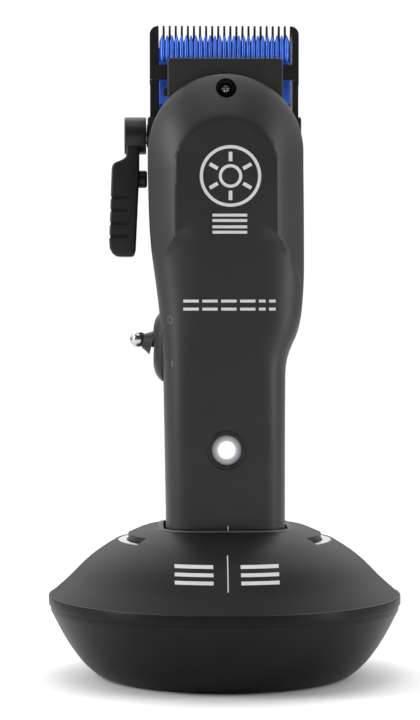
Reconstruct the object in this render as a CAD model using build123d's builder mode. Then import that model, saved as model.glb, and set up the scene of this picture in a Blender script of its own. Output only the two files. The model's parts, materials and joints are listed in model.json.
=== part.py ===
from build123d import *
import os
from math import cos, radians, sin

# A cordless hair clipper standing upright in a round charging dock.
# Millimetres, +Z up, front towards -Y. The origin is the centre of the circle that the dock's feet
# stand on. The clipper's own axis is the same Z axis, so it lifts straight out of the dock.

os.makedirs("parts", exist_ok=True)

# ---------------------------------------------------------------- driving dimensions
WALL = 2.2                  # moulded shell thickness
FIT = 0.05                  # radial clearance of a running fit
GAP = 0.15                  # clearance between neighbouring pieces that don't fit each other

# dock
FOOT_HEIGHT = 1.5
BASE_Z = 0.6                # underside of the dock's base plate
BASE_THICK = 2.0
BASE_R = 36.0
RIM_R = 54.2                # widest radius of the dock
RIM_LOW_Z = 21.7
RIM_HIGH_Z = 25.1
COLLAR_R = 24.9             # flat grey collar round the pocket
COLLAR_Z = 45.7
POCKET_FLOOR_Z = 25.9       # top of the floor that the clipper stands on
POCKET_GAP = 0.8            # gap round the handle in the pocket
LINER_WALL = 1.6
NOTCH_R = 29.7              # inner radius of the two lit notches
NOTCH_Z = 41.7
NOTCH_HALF_ANGLE = 36
PIN_PITCH = 8.0             # between the two charging contacts

# clipper
CLIPPER_Z = 26.0            # underside of the clipper in the dock
PARTING_Y = 1.0             # plane where the front and rear housings meet
HEAD_TOP_Z = 171.6          # top of the rear housing
FRONT_Y = -19.0             # flat of the shield panel
DOME_R = 23.7               # outer arch of the dome
DOME_Z = 160.2
DOME_Y = -9.0               # plane of the outer arch
PANEL_R = 15.2              # arch of the flat shield panel
PANEL_Z = 154.4

# blades
BLADE_HALF = 23.0
BLADE_TOP_Z = 199.7
BLADE_LOW_Z = 181.6
BLADE_FRONT_Y = 3.0
BLADE_BACK_Y = 5.5
COMB_PITCH = 1.87           # pitch of the fixed blade's teeth
COMB_GAPS = 22
COMB_GAP_WIDTH = 1.2
CUTTER_HALF = 20.05
CUTTER_TIP_Z = 196.6
CUTTER_PITCH = 1.47
CUTTER_TEETH = 27
CUTTER_FRONT_Y = 0.7
CUTTER_BACK_Y = 2.9

# drive
MOTOR_R = 12.0
MOTOR_LOW_Z = 120.0
MOTOR_HIGH_Z = 150.0
SHAFT_R = 1.5
CAM_R = 5.0
CRANK = 1.25                # offset of the crank pin from the motor's axis
CRANK_PIN_R = 1.5

# taper lever
LEVER_Y = 5.0
LEVER_Z = 166.0
LEVER_HUB_R = 5.75
LEVER_SHAFT_R = 3.0
LEVER_BUSH_R = 3.6
TAPER_OFFSET = 2.0          # offset of the eccentric that moves the blade
TAPER_START = 150           # degrees, direction of the eccentric from the hub at rest
TAPER_PIN_R = 1.5

# switch and button
TOGGLE_X = -17.8
TOGGLE_Z = 101.1
TOGGLE_TILT = 13.5
TOGGLE_PIN_R = 0.6
TOGGLE_PIN_HALF = 2.2
BUTTON_Z = 70.2

# section through the handle and head: height, left, right, front, back
BODY_SECTIONS = [
    (26.0, -17.7, 17.7, -17.6, 17.4),
    (48.0, -18.1, 18.1, -18.6, 18.0),
    (75.0, -18.6, 18.1, -19.0, 18.4),
    (93.0, -18.9, 18.2, -19.0, 18.8),
    (97.5, -19.1, 18.8, -19.0, 18.9),
    (101.0, -19.3, 20.0, -19.0, 19.0),
    (105.4, -19.6, 21.9, -19.0, 19.1),
    (111.0, -20.0, 23.1, -19.0, 19.2),
    (118.0, -20.8, 23.7, -19.0, 19.4),
    (125.0, -21.8, 23.9, -19.0, 19.5),
    (131.0, -22.6, 23.9, -19.0, 19.5),
    (140.0, -23.2, 23.8, -19.0, 19.5),
    (160.0, -23.6, 23.7, -19.0, 19.2),
    (187.0, -23.6, 23.6, -19.0, 17.6),
]
CORNER_R = 9.0
CORNER_STEPS = 6            # flats in each rounded corner
ARCH_STEPS = 24             # flats in the dome's arch


def save(piece, label):
    """Label a finished piece and write it to its own file."""
    piece.label = label
    export_step(piece, f"parts/{label}.step")


def rounded_points(width, depth, radius):
    """Corners of a rounded rectangle whose round corners are short flats.

    The flats keep the same directions at every height, so the faces between two sections are flat.
    """
    points = []
    for corner, (side, end) in enumerate([(1, 1), (-1, 1), (-1, -1), (1, -1)]):
        for step in range(CORNER_STEPS + 1):
            angle = radians(90 * corner + 90 * step / CORNER_STEPS)
            x = side * (width / 2 - radius) + radius * cos(angle)
            y = end * (depth / 2 - radius) + radius * sin(angle)
            points.append((x, y))
    return points


def body_loft(inset, low_z, high_z):
    """The smooth body of the clipper, shrunk by an inset all round."""
    with BuildPart(mode=Mode.PRIVATE) as body:
        for height, left, right, front, back in BODY_SECTIONS:
            level = min(max(height, low_z), high_z)
            middle = Plane(((left + right) / 2, (front + back) / 2, level))
            with BuildSketch(middle):
                with BuildLine():
                    Polyline(*rounded_points(right - left - 2 * inset, back - front - 2 * inset,
                                             CORNER_R - inset), close=True)
                make_face()
        loft(ruled=True)
    return body.part


def shield_outline(plane, arch_r, arch_z, foot_half):
    """An arch on straight sides that flare out below into a wide foot."""
    arch = []
    for step in range(ARCH_STEPS + 1):
        angle = radians(180 * step / ARCH_STEPS)
        arch.append((arch_r * cos(angle), arch_z + arch_r * sin(angle)))
    with BuildSketch(plane, mode=Mode.PRIVATE) as outline:
        with BuildLine():
            Polyline(*arch, (-arch_r, 140), (-foot_half, 122), (-foot_half, 10),
                     (foot_half, 10), (foot_half, 122), (arch_r, 140), close=True)
        make_face()
    return outline.sketch


def shield_block(inset):
    """Everything behind the bevel that runs from the shield panel out to the dome's arch."""
    panel = Plane((0, FRONT_Y + inset - 0.1, 0), x_dir=(1, 0, 0), z_dir=(0, -1, 0))
    arch = Plane((0, DOME_Y, 0), x_dir=(1, 0, 0), z_dir=(0, -1, 0))
    back = Plane((0, 26, 0), x_dir=(1, 0, 0), z_dir=(0, -1, 0))
    with BuildPart(mode=Mode.PRIVATE) as block:
        add(shield_outline(panel, PANEL_R - inset / 2, PANEL_Z, 24.0))
        add(shield_outline(arch, DOME_R - inset, DOME_Z, 40.0))
        add(shield_outline(back, DOME_R - inset, DOME_Z, 40.0))
        loft(ruled=True)
    return block.part


# ---------------------------------------------------------------- dock, outer shells
FLANK_LOW = [(38.6, BASE_Z), (40.4, 1.6), (43.8, 4.7), (47.5, 9.5), (50.4, 14.3), (53.6, 20.6)]
FLANK_HIGH = [(53.6, RIM_HIGH_Z), (48.6, 29.5), (41.2, 36.6), (33.0, 42.0), (COLLAR_R, COLLAR_Z)]

PILLAR_R = 30.0             # circle of the base screws


def pocket_outline(plane, grow, radius):
    """The rounded rectangle of the handle, grown outwards."""
    with BuildSketch(plane, mode=Mode.PRIVATE) as outline:
        RectangleRounded(2 * (18.1 + grow), 2 * (18.6 + grow), radius)
    return outline.sketch


LINER_IN = POCKET_GAP
LINER_OUT = POCKET_GAP + LINER_WALL

with BuildPart() as dock_lower_shell:
    with BuildSketch(Plane.XZ):
        with BuildLine():
            flank = Spline(*FLANK_LOW)
            Polyline(flank @ 1, (53.6, RIM_LOW_Z), (53.6 - WALL, RIM_LOW_Z), (50.4 - WALL, 14.3),
                     (47.2 - WALL, 9.5), (43.2 - WALL, 4.9), (14.0, 4.9), (14.0, BASE_Z + BASE_THICK),
                     (BASE_R + GAP, BASE_Z + BASE_THICK), (BASE_R + GAP, BASE_Z), flank @ 0)
        make_face()
    revolve(axis=Axis.Z)
    with BuildSketch(Plane.XY.offset(BASE_Z)):
        with PolarLocations(PILLAR_R, 4, start_angle=45):
            Circle(1.6)
    extrude(amount=8, mode=Mode.SUBTRACT)
    with BuildSketch(Plane.XZ.offset(-60)):
        with Locations((0, 12.2)):
            Circle(4.6)
    extrude(amount=22, mode=Mode.SUBTRACT)
save(dock_lower_shell.part, "dock_lower_shell")

with BuildPart() as dock_rim_band:
    with BuildSketch(Plane.XZ):
        with BuildLine():
            Polyline((53.4 - WALL, RIM_LOW_Z), (RIM_R - 0.3, RIM_LOW_Z), (RIM_R, RIM_LOW_Z + 0.3),
                     (RIM_R, RIM_LOW_Z + 1.4), (RIM_R - 0.5, RIM_LOW_Z + 1.7), (RIM_R, RIM_LOW_Z + 2.0),
                     (RIM_R, RIM_HIGH_Z - 0.3), (RIM_R - 0.3, RIM_HIGH_Z), (53.4 - WALL, RIM_HIGH_Z), close=True)
        make_face()
    revolve(axis=Axis.Z)
save(dock_rim_band.part, "dock_rim_band")

with BuildPart() as dock_upper_shell:
    with BuildSketch(Plane.XZ):
        with BuildLine():
            crest = Spline(*FLANK_HIGH)
            Polyline(crest @ 1, (10.0, COLLAR_Z), (10.0, COLLAR_Z - WALL), (COLLAR_R - 1, COLLAR_Z - WALL),
                     (32.0, 42.0 - WALL), (39.8, 36.6 - WALL), (46.5, 29.5 - WALL + 0.6),
                     (53.6 - WALL, RIM_HIGH_Z), crest @ 0)
        make_face()
    revolve(axis=Axis.Z)
    with BuildSketch(Plane.XY.offset(4.9 + GAP)):
        with PolarLocations(PILLAR_R, 4, start_angle=45):
            Circle(3.2)
    extrude(until=Until.NEXT)
    with BuildSketch(Plane.XY.offset(4.9)):
        with PolarLocations(PILLAR_R, 4, start_angle=45):
            Circle(1.25)
    extrude(amount=10, mode=Mode.SUBTRACT)
    add(pocket_outline(Plane.XY.offset(40), LINER_OUT + 0.02, 11.0))
    extrude(amount=8, mode=Mode.SUBTRACT)
    # the notches: flat floors cut back to a step in the flank, left and right
    with BuildSketch(Plane.XY.offset(NOTCH_Z)):
        for side in (0, 180):
            with BuildLine():
                start = side - NOTCH_HALF_ANGLE
                inner = CenterArc((0, 0), NOTCH_R, start, 2 * NOTCH_HALF_ANGLE)
                outer = CenterArc((0, 0), 40, start, 2 * NOTCH_HALF_ANGLE)
                Line(inner @ 0, outer @ 0)
                Line(inner @ 1, outer @ 1)
            make_face()
    extrude(amount=6, mode=Mode.SUBTRACT)
    # the seats of the light windows
    with BuildSketch(Plane.XY.offset(NOTCH_Z)):
        for side in (0, 180):
            with BuildLine():
                start = side - NOTCH_HALF_ANGLE + 3
                inner = CenterArc((0, 0), NOTCH_R + 0.5, start, 2 * NOTCH_HALF_ANGLE - 6)
                outer = CenterArc((0, 0), 32.8, start, 2 * NOTCH_HALF_ANGLE - 6)
                Line(inner @ 0, outer @ 0)
                Line(inner @ 1, outer @ 1)
            make_face()
    extrude(amount=-6, mode=Mode.SUBTRACT)
save(dock_upper_shell.part, "dock_upper_shell")

with BuildPart() as light_windows:
    with BuildSketch(Plane.XY.offset(NOTCH_Z - 0.1)):
        for side in (0, 180):
            with BuildLine():
                start = side - NOTCH_HALF_ANGLE + 3
                inner = CenterArc((0, 0), NOTCH_R + 0.5, start, 2 * NOTCH_HALF_ANGLE - 6)
                outer = CenterArc((0, 0), 32.8, start, 2 * NOTCH_HALF_ANGLE - 6)
                Line(inner @ 0, outer @ 0)
                Line(inner @ 1, outer @ 1)
            make_face()
    extrude(amount=-2.4)
save(light_windows.part, "light_windows")

with BuildPart() as dock_leds:
    with BuildSketch(Plane.XY.offset(36.0)):
        with Locations((-31.2, 0), (31.2, 0)):
            Rectangle(2.4, 4.0)
    extrude(amount=1.6)
save(dock_leds.part, "dock_leds")

with BuildPart() as pocket_liner:
    add(pocket_outline(Plane.XY.offset(POCKET_FLOOR_Z - 2.0), LINER_OUT, 11.0))
    extrude(amount=COLLAR_Z + 0.3 - POCKET_FLOOR_Z + 2.0)
    chamfer(pocket_liner.edges().group_by(Axis.Z)[-1], 0.25)
    add(pocket_outline(Plane.XY.offset(POCKET_FLOOR_Z), LINER_IN, 9.6))
    extrude(amount=30, mode=Mode.SUBTRACT)
    with Locations((0, 0, POCKET_FLOOR_Z)):
        with GridLocations(PIN_PITCH, 1, 2, 1):
            Hole(radius=0.9 + 0.1, depth=3)
save(pocket_liner.part, "pocket_liner")

with BuildPart() as dock_base_plate:
    with BuildSketch(Plane.XY.offset(BASE_Z)):
        Circle(BASE_R)
    extrude(amount=BASE_THICK)
    with BuildSketch(Plane.XY.offset(BASE_Z)):
        with PolarLocations(PILLAR_R, 4, start_angle=45):
            Circle(2.8)
    extrude(amount=1.0, mode=Mode.SUBTRACT)
    with BuildSketch(Plane.XY.offset(BASE_Z)):
        with PolarLocations(PILLAR_R, 4, start_angle=45):
            Circle(1.6)
    extrude(amount=BASE_THICK, mode=Mode.SUBTRACT)
    with BuildSketch(Plane.XY.offset(BASE_Z)):
        with PolarLocations(PILLAR_R, 4):
            Circle(4.5)
    extrude(amount=FOOT_HEIGHT - BASE_Z, mode=Mode.SUBTRACT)
save(dock_base_plate.part, "dock_base_plate")

with BuildPart() as rubber_feet:
    with BuildSketch(Plane.XY):
        with PolarLocations(PILLAR_R, 4):
            Circle(4.5)
    extrude(amount=FOOT_HEIGHT)
    chamfer(rubber_feet.edges().group_by(Axis.Z)[0], 0.3)
save(rubber_feet.part, "rubber_feet")

with BuildPart() as base_screws:
    with BuildSketch(Plane.XY.offset(BASE_Z + 0.1)):
        with PolarLocations(PILLAR_R, 4, start_angle=45):
            Circle(2.6)
    extrude(amount=0.9)
    with BuildSketch(Plane.XY.offset(BASE_Z + 0.1)):
        with PolarLocations(PILLAR_R, 4, start_angle=45):
            Circle(1.25)
    extrude(amount=13)
save(base_screws.part, "base_screws")

with BuildPart() as ballast_weight:
    with BuildSketch(Plane.XY.offset(4.9)):
        Circle(25.5)
        Circle(10.0, mode=Mode.SUBTRACT)
    extrude(amount=6.1)
    chamfer(ballast_weight.edges().group_by(Axis.Z)[-1], 0.6)
    # four bosses carry the circuit board
    with BuildSketch(Plane.XY.offset(11.0)):
        with GridLocations(30, 24, 2, 2):
            Circle(2.5)
    extrude(amount=3.0)
save(ballast_weight.part, "ballast_weight")

with BuildPart() as dock_circuit_board:
    with BuildSketch(Plane.XY.offset(14.0)):
        RectangleRounded(44, 34, 3)
    extrude(amount=1.6)
save(dock_circuit_board.part, "dock_circuit_board")

with BuildPart() as contact_block:
    with BuildSketch(Plane.XY.offset(15.6)):
        RectangleRounded(18, 9, 1.5)
    extrude(amount=POCKET_FLOOR_Z - 2.0 - 15.6)
    with BuildSketch(Plane.XY.offset(15.6)):
        with GridLocations(PIN_PITCH, 1, 2, 1):
            Circle(1.6)
    extrude(amount=6.6, mode=Mode.SUBTRACT)
    with BuildSketch(Plane.XY.offset(15.6)):
        with GridLocations(PIN_PITCH, 1, 2, 1):
            Circle(0.9 + FIT)
    extrude(amount=10, mode=Mode.SUBTRACT)
save(contact_block.part, "contact_block")

with BuildPart() as contact_pins:
    with BuildSketch(Plane.XY.offset(21.0)):
        with GridLocations(PIN_PITCH, 1, 2, 1):
            Circle(0.9)
    extrude(amount=26.45 - 21.0)
    fillet(contact_pins.edges().group_by(Axis.Z)[-1], 0.6)
    with BuildSketch(Plane.XY.offset(21.0)):
        with GridLocations(PIN_PITCH, 1, 2, 1):
            Circle(1.5)
    extrude(amount=1.0)
save(contact_pins.part, "contact_pins")

with BuildPart() as contact_springs:
    for side in (-0.5, 0.5):
        with BuildLine():
            coil = Helix(pitch=1.0, height=4.7, radius=1.1, center=(side * PIN_PITCH, 0, 15.95))
        with BuildSketch(Plane(origin=coil @ 0, z_dir=coil % 0)):
            Circle(0.15)
        sweep(path=coil)
save(contact_springs.part, "contact_springs")

with BuildPart() as dock_inlet:
    with BuildSketch(Plane.XZ.offset(-37.0)):
        with Locations((0, 12.2)):
            Circle(4.5)
    extrude(amount=-11.0)
    with BuildSketch(Plane.XZ.offset(-48.0)):
        with Locations((0, 12.2)):
            Circle(2.75)
            Circle(1.0, mode=Mode.SUBTRACT)
    extrude(amount=9.0, mode=Mode.SUBTRACT)
save(dock_inlet.part, "dock_inlet")

# ---------------------------------------------------------------- clipper, housings
BOSSES = [(-12.6, 40.0), (12.6, 40.0), (-17.5, 146.0), (17.5, 146.0)]
BOSS_R = 3.2
NOSE_HALF = 17.6
NOSE_TOP_Z = 188.9
NOSE_FRONT_Y = -6.5
NOSE_BACK_Y = -2.0
FRONT_SCREW_Z = 179.1
LEG_IN = 19.9               # side legs of the blade carrier
LEG_OUT = 22.9
LEG_LOW_Z = 171.75
TAPER_TRAVEL = 2.0

whole_body = body_loft(0, 29.1, 187.0)
whole_cavity = body_loft(WALL, 28.0, 187.0)
outer_body = whole_body & shield_block(0)
inner_body = whole_cavity & shield_block(WALL)

with BuildPart() as front_housing:
    add(outer_body)
    add(inner_body, mode=Mode.SUBTRACT)
    with BuildSketch(Plane.XZ.offset(-PARTING_Y)):
        with Locations(*BOSSES):
            Circle(BOSS_R)
    extrude(amount=24)
    with BuildSketch(Plane.XZ.offset(-NOSE_FRONT_Y)):
        with Locations((0, FRONT_SCREW_Z)):
            Circle(4.6)
    extrude(amount=8)
    add(outer_body, mode=Mode.INTERSECT)
    split(bisect_by=Plane.XZ.offset(-PARTING_Y + 0.02), keep=Keep.TOP)
    with BuildSketch(Plane.XY.offset(HEAD_TOP_Z)):
        with Locations((0, NOSE_FRONT_Y - 0.1)):
            Rectangle(60, 20, align=(Align.CENTER, Align.MIN))
    extrude(amount=30, mode=Mode.SUBTRACT)
    with BuildSketch(Plane.XZ.offset(-PARTING_Y)):
        with Locations(*BOSSES):
            Circle(1.25)
    extrude(amount=14, mode=Mode.SUBTRACT)
    # recess of the front screw, down to a thin seat
    with BuildSketch(Plane.XZ.offset(-NOSE_FRONT_Y + 1.2)):
        with Locations((0, FRONT_SCREW_Z)):
            Circle(3.15)
    extrude(amount=20, mode=Mode.SUBTRACT)
    with BuildSketch(Plane.XZ.offset(-NOSE_FRONT_Y)):
        with Locations((0, FRONT_SCREW_Z)):
            Circle(1.4)
    extrude(amount=4, mode=Mode.SUBTRACT)
    with BuildSketch(Plane.XZ.offset(14)):
        with Locations((0, BUTTON_Z)):
            Circle(5.9 + FIT)
    extrude(amount=10, mode=Mode.SUBTRACT)
    with BuildSketch(Plane.YZ.offset(-26)):
        with Locations((0, TOGGLE_Z)):
            Circle(4.1)
    extrude(amount=12, mode=Mode.SUBTRACT)
save(front_housing.part, "front_housing")

with BuildPart() as roof:
    with BuildSketch(Plane.XY.offset(HEAD_TOP_Z - WALL)):
        with Locations((0, 9.5)):
            Rectangle(60, 30, align=(Align.CENTER, Align.MIN))
    extrude(amount=30)

with BuildPart() as rear_housing:
    add(whole_body)
    add(whole_cavity - roof.part, mode=Mode.SUBTRACT)
    with BuildSketch(Plane.XZ.offset(-PARTING_Y)):
        with Locations(*BOSSES):
            Circle(BOSS_R)
    extrude(amount=-13.4)
    split(bisect_by=Plane.XZ.offset(-PARTING_Y - 0.02), keep=Keep.BOTTOM)
    with BuildSketch(Plane.XY.offset(HEAD_TOP_Z)):
        Rectangle(60, 60)
    extrude(amount=30, mode=Mode.SUBTRACT)
    # pockets under the carrier's legs, and screw holes sunk into the back
    with BuildSketch(Plane.XY.offset(HEAD_TOP_Z - TAPER_TRAVEL - 0.3)):
        for side in (-1, 1):
            with Locations((side * (LEG_IN + LEG_OUT) / 2, 5.2)):
                Rectangle(LEG_OUT - LEG_IN + 0.3, 5.0)
    extrude(amount=5, mode=Mode.SUBTRACT)
    with BuildSketch(Plane.XZ.offset(-PARTING_Y)):
        with Locations(*BOSSES):
            Circle(1.5)
    extrude(amount=-24, mode=Mode.SUBTRACT)
    with BuildSketch(Plane.XZ.offset(-12.0)):
        with Locations(*BOSSES):
            Circle(2.5)
    extrude(amount=-12, mode=Mode.SUBTRACT)
    with BuildSketch(Plane.YZ.offset(-26)):
        with Locations((LEVER_Y, LEVER_Z)):
            Circle(LEVER_BUSH_R)
    extrude(amount=8, mode=Mode.SUBTRACT)
    with BuildSketch(Plane.YZ.offset(-26)):
        with Locations((0, TOGGLE_Z)):
            Circle(4.1)
    extrude(amount=12, mode=Mode.SUBTRACT)
save(rear_housing.part, "rear_housing")

with BuildPart() as rear_screws:
    with BuildSketch(Plane.XZ.offset(-12.05)):
        with Locations(*BOSSES):
            Circle(2.4)
    extrude(amount=-2.0)
    with BuildSketch(Plane.XZ.offset(-12.05)):
        with Locations(*BOSSES):
            Circle(1.25)
    extrude(amount=20)
    with BuildSketch(Plane.XZ.offset(-14.05)):
        with Locations(*BOSSES):
            Rectangle(2.6, 0.6)
            Rectangle(0.6, 2.6)
    extrude(amount=1.1, mode=Mode.SUBTRACT)
save(rear_screws.part, "rear_screws")

with BuildPart() as handle_end_cap:
    with BuildSketch(Plane.XY.offset(CLIPPER_Z)):
        with Locations((0, -0.1)):
            RectangleRounded(35.4, 35.0, CORNER_R)
    extrude(amount=3.0)
    chamfer(handle_end_cap.edges().group_by(Axis.Z)[0], 1.0)
    with BuildSketch(Plane.XY.offset(CLIPPER_Z + 3.0)):
        with Locations((0, -0.1)):
            RectangleRounded(30.6, 30.2, CORNER_R - WALL)
            RectangleRounded(27.0, 26.6, CORNER_R - WALL - 1.8, mode=Mode.SUBTRACT)
    extrude(amount=2.2)
    with BuildSketch(Plane.XY.offset(CLIPPER_Z)):
        with GridLocations(PIN_PITCH, 1, 2, 1):
            Circle(1.85)
        with Locations((0, 10)):
            Circle(3.2)
    extrude(amount=3.0, mode=Mode.SUBTRACT)
save(handle_end_cap.part, "handle_end_cap")

with BuildPart() as charge_contacts:
    with BuildSketch(Plane.XY.offset(CLIPPER_Z + 0.5)):
        with GridLocations(PIN_PITCH, 1, 2, 1):
            Circle(1.85)
    extrude(amount=2.5)
save(charge_contacts.part, "charge_contacts")

with BuildPart() as charge_jack:
    with BuildSketch(Plane.XY.offset(CLIPPER_Z + 0.3)):
        with Locations((0, 10)):
            Circle(3.2)
    extrude(amount=7.4)
    with BuildSketch(Plane.XY.offset(CLIPPER_Z + 0.3)):
        with Locations((0, 10)):
            Circle(2.0)
            Circle(0.6, mode=Mode.SUBTRACT)
    extrude(amount=6.0, mode=Mode.SUBTRACT)
save(charge_jack.part, "charge_jack")

# ---------------------------------------------------------------- clipper, nose and bracket
with BuildPart() as nose_plate:
    with BuildSketch(Plane.XZ.offset(-NOSE_BACK_Y)):
        with BuildLine():
            Polyline((-NOSE_HALF, NOSE_TOP_Z), (-NOSE_HALF, 172.5), (-15.0, 168.0), (15.0, 168.0),
                     (NOSE_HALF, 172.5), (NOSE_HALF, NOSE_TOP_Z), close=True)
        make_face()
    extrude(amount=NOSE_BACK_Y - NOSE_FRONT_Y)
    top_corners = nose_plate.edges().filter_by(Axis.Y).group_by(Axis.Z)[-1]
    fillet(top_corners, 0.8)
    front_rim = nose_plate.faces().sort_by(Axis.Y)[0].edges()
    chamfer(front_rim, 0.5)
    with BuildSketch(Plane.XZ.offset(-NOSE_BACK_Y)):
        with Locations((0, FRONT_SCREW_Z)):
            Circle(1.4)
    extrude(amount=6, mode=Mode.SUBTRACT)
save(nose_plate.part, "nose_plate")

with BuildPart() as blade_bracket:
    with BuildSketch(Plane.XZ.offset(-0.5)):
        with Locations((-0.3, 185.0)):
            Rectangle(45.4, 4.6)
    extrude(amount=2.1)
    fillet(blade_bracket.edges().filter_by(Axis.Y).group_by(Axis.Z)[0], 0.9)
    with BuildSketch(Plane.XZ.offset(0.7)):
        with Locations((0, FRONT_SCREW_Z + 0.4)):
            RectangleRounded(9.0, 8.4, 1.2)
    extrude(amount=1.2)
    with BuildSketch(Plane.XZ.offset(0)):
        with Locations((0, FRONT_SCREW_Z)):
            Circle(1.2)
    extrude(amount=3, mode=Mode.SUBTRACT)
save(blade_bracket.part, "blade_bracket")

with BuildPart() as front_screw:
    with BuildSketch(Plane.XZ.offset(-NOSE_FRONT_Y + 1.22)):
        with Locations((0, FRONT_SCREW_Z)):
            Circle(1.75)
    extrude(amount=1.4)
    fillet(front_screw.edges().group_by(Axis.Y)[0], 0.6)
    with BuildSketch(Plane.XZ.offset(-NOSE_FRONT_Y + 2.62)):
        with Locations((0, FRONT_SCREW_Z)):
            Rectangle(2.2, 0.5)
            Rectangle(0.5, 2.2)
    extrude(amount=-0.8, mode=Mode.SUBTRACT)
    with BuildSketch(Plane.XZ.offset(0.75)):
        with Locations((0, FRONT_SCREW_Z)):
            Circle(1.2)
    extrude(amount=-NOSE_FRONT_Y + 1.3 - 0.75)
save(front_screw.part, "front_screw")

# ---------------------------------------------------------------- blades
with BuildPart() as fixed_blade:
    with BuildSketch(Plane.XZ.offset(-BLADE_BACK_Y)):
        with Locations((0, BLADE_LOW_Z)):
            Rectangle(2 * BLADE_HALF, BLADE_TOP_Z - BLADE_LOW_Z, align=(Align.CENTER, Align.MIN))
    extrude(amount=BLADE_BACK_Y - BLADE_FRONT_Y)
    fillet(fixed_blade.edges().filter_by(Axis.Y).group_by(Axis.Z)[-1], 2.8)
    # the back is ground away towards the tips
    with BuildSketch(Plane.YZ.offset(-30)):
        with BuildLine():
            Polyline((BLADE_BACK_Y + 1, 188.0), (BLADE_BACK_Y, 188.0), (BLADE_FRONT_Y + 0.7, 200.5),
                     (BLADE_BACK_Y + 1, 200.5), close=True)
        make_face()
    extrude(amount=60, mode=Mode.SUBTRACT)
    with BuildSketch(Plane.XZ.offset(-BLADE_BACK_Y - 1)):
        with Locations((0, 196.6)):
            with GridLocations(COMB_PITCH, 1, COMB_GAPS, 1):
                RectangleRounded(COMB_GAP_WIDTH, 8.0, 0.55)
        with Locations((0, 199.5)):
            with GridLocations(COMB_PITCH, 1, COMB_GAPS, 1):
                Rectangle(COMB_GAP_WIDTH, 3.0)
    extrude(amount=6, mode=Mode.SUBTRACT)
    with BuildSketch(Plane.XZ.offset(-BLADE_BACK_Y)):
        with Locations((-11, 184.4), (11, 184.4)):
            Circle(1.3)
    extrude(amount=4, mode=Mode.SUBTRACT)
save(fixed_blade.part, "fixed_blade")

TAPER_PIN_Y = LEVER_Y + TAPER_OFFSET * cos(radians(TAPER_START))
TAPER_PIN_Z = LEVER_Z + TAPER_OFFSET * sin(radians(TAPER_START))

with BuildPart() as blade_carrier:
    with BuildSketch(Plane.XZ.offset(-7.3)):
        with BuildLine():
            Polyline((-LEG_OUT, LEG_LOW_Z), (-LEG_OUT, 187.0), (LEG_OUT, 187.0), (LEG_OUT, LEG_LOW_Z),
                     (LEG_IN, LEG_LOW_Z), (LEG_IN, 176.0), (16.8, 176.0), (16.8, 162.0),
                     (-20.0, 162.0), (-20.0, 171.4), (-16.8, 171.4), (-16.8, 176.0), (-LEG_IN, 176.0),
                     (-LEG_IN, LEG_LOW_Z), close=True)
        make_face()
    extrude(amount=7.3 - BLADE_BACK_Y - 0.02)
    # legs and shoulders under the fixed blade
    with BuildSketch(Plane.XY.offset(LEG_LOW_Z)):
        for side in (-1, 1):
            with Locations((side * (LEG_IN + LEG_OUT) / 2, BLADE_FRONT_Y + 0.1)):
                Rectangle(LEG_OUT - LEG_IN, 3.0, align=(Align.CENTER, Align.MIN))
    extrude(amount=BLADE_LOW_Z - LEG_LOW_Z - 0.05)
    # ear on the lever's side, with a level slot for the eccentric pin
    with BuildSketch(Plane.YZ.offset(-19.45)):
        with Locations((3.6, 165.5)):
            Rectangle(7.4, 7.0)
        with Locations((TAPER_PIN_Y - 0.1, TAPER_PIN_Z)):
            SlotOverall(4.2, 2 * (TAPER_PIN_R + FIT), mode=Mode.SUBTRACT)
    extrude(amount=1.45)
    with BuildSketch(Plane.XZ.offset(-8)):
        with Locations((-11, 184.4), (11, 184.4)):
            Circle(1.1)
    extrude(amount=4, mode=Mode.SUBTRACT)
save(blade_carrier.part, "blade_carrier")

with BuildPart() as blade_screws:
    with BuildSketch(Plane.XZ.offset(-7.32)):
        with Locations((-11, 184.4), (11, 184.4)):
            Circle(2.2)
    extrude(amount=-1.3)
    fillet(blade_screws.edges().group_by(Axis.Y)[-1], 0.5)
    with BuildSketch(Plane.XZ.offset(-7.32)):
        with Locations((-11, 184.4), (11, 184.4)):
            Circle(1.1)
    extrude(amount=4.0)
    with BuildSketch(Plane.XZ.offset(-8.62)):
        with Locations((-11, 184.4), (11, 184.4)):
            Rectangle(2.4, 0.5)
            Rectangle(0.5, 2.4)
    extrude(amount=0.7, mode=Mode.SUBTRACT)
save(blade_screws.part, "blade_screws")

CUTTER_ROOT_Z = 194.6
RIB_LOW_Z = 188.8

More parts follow.
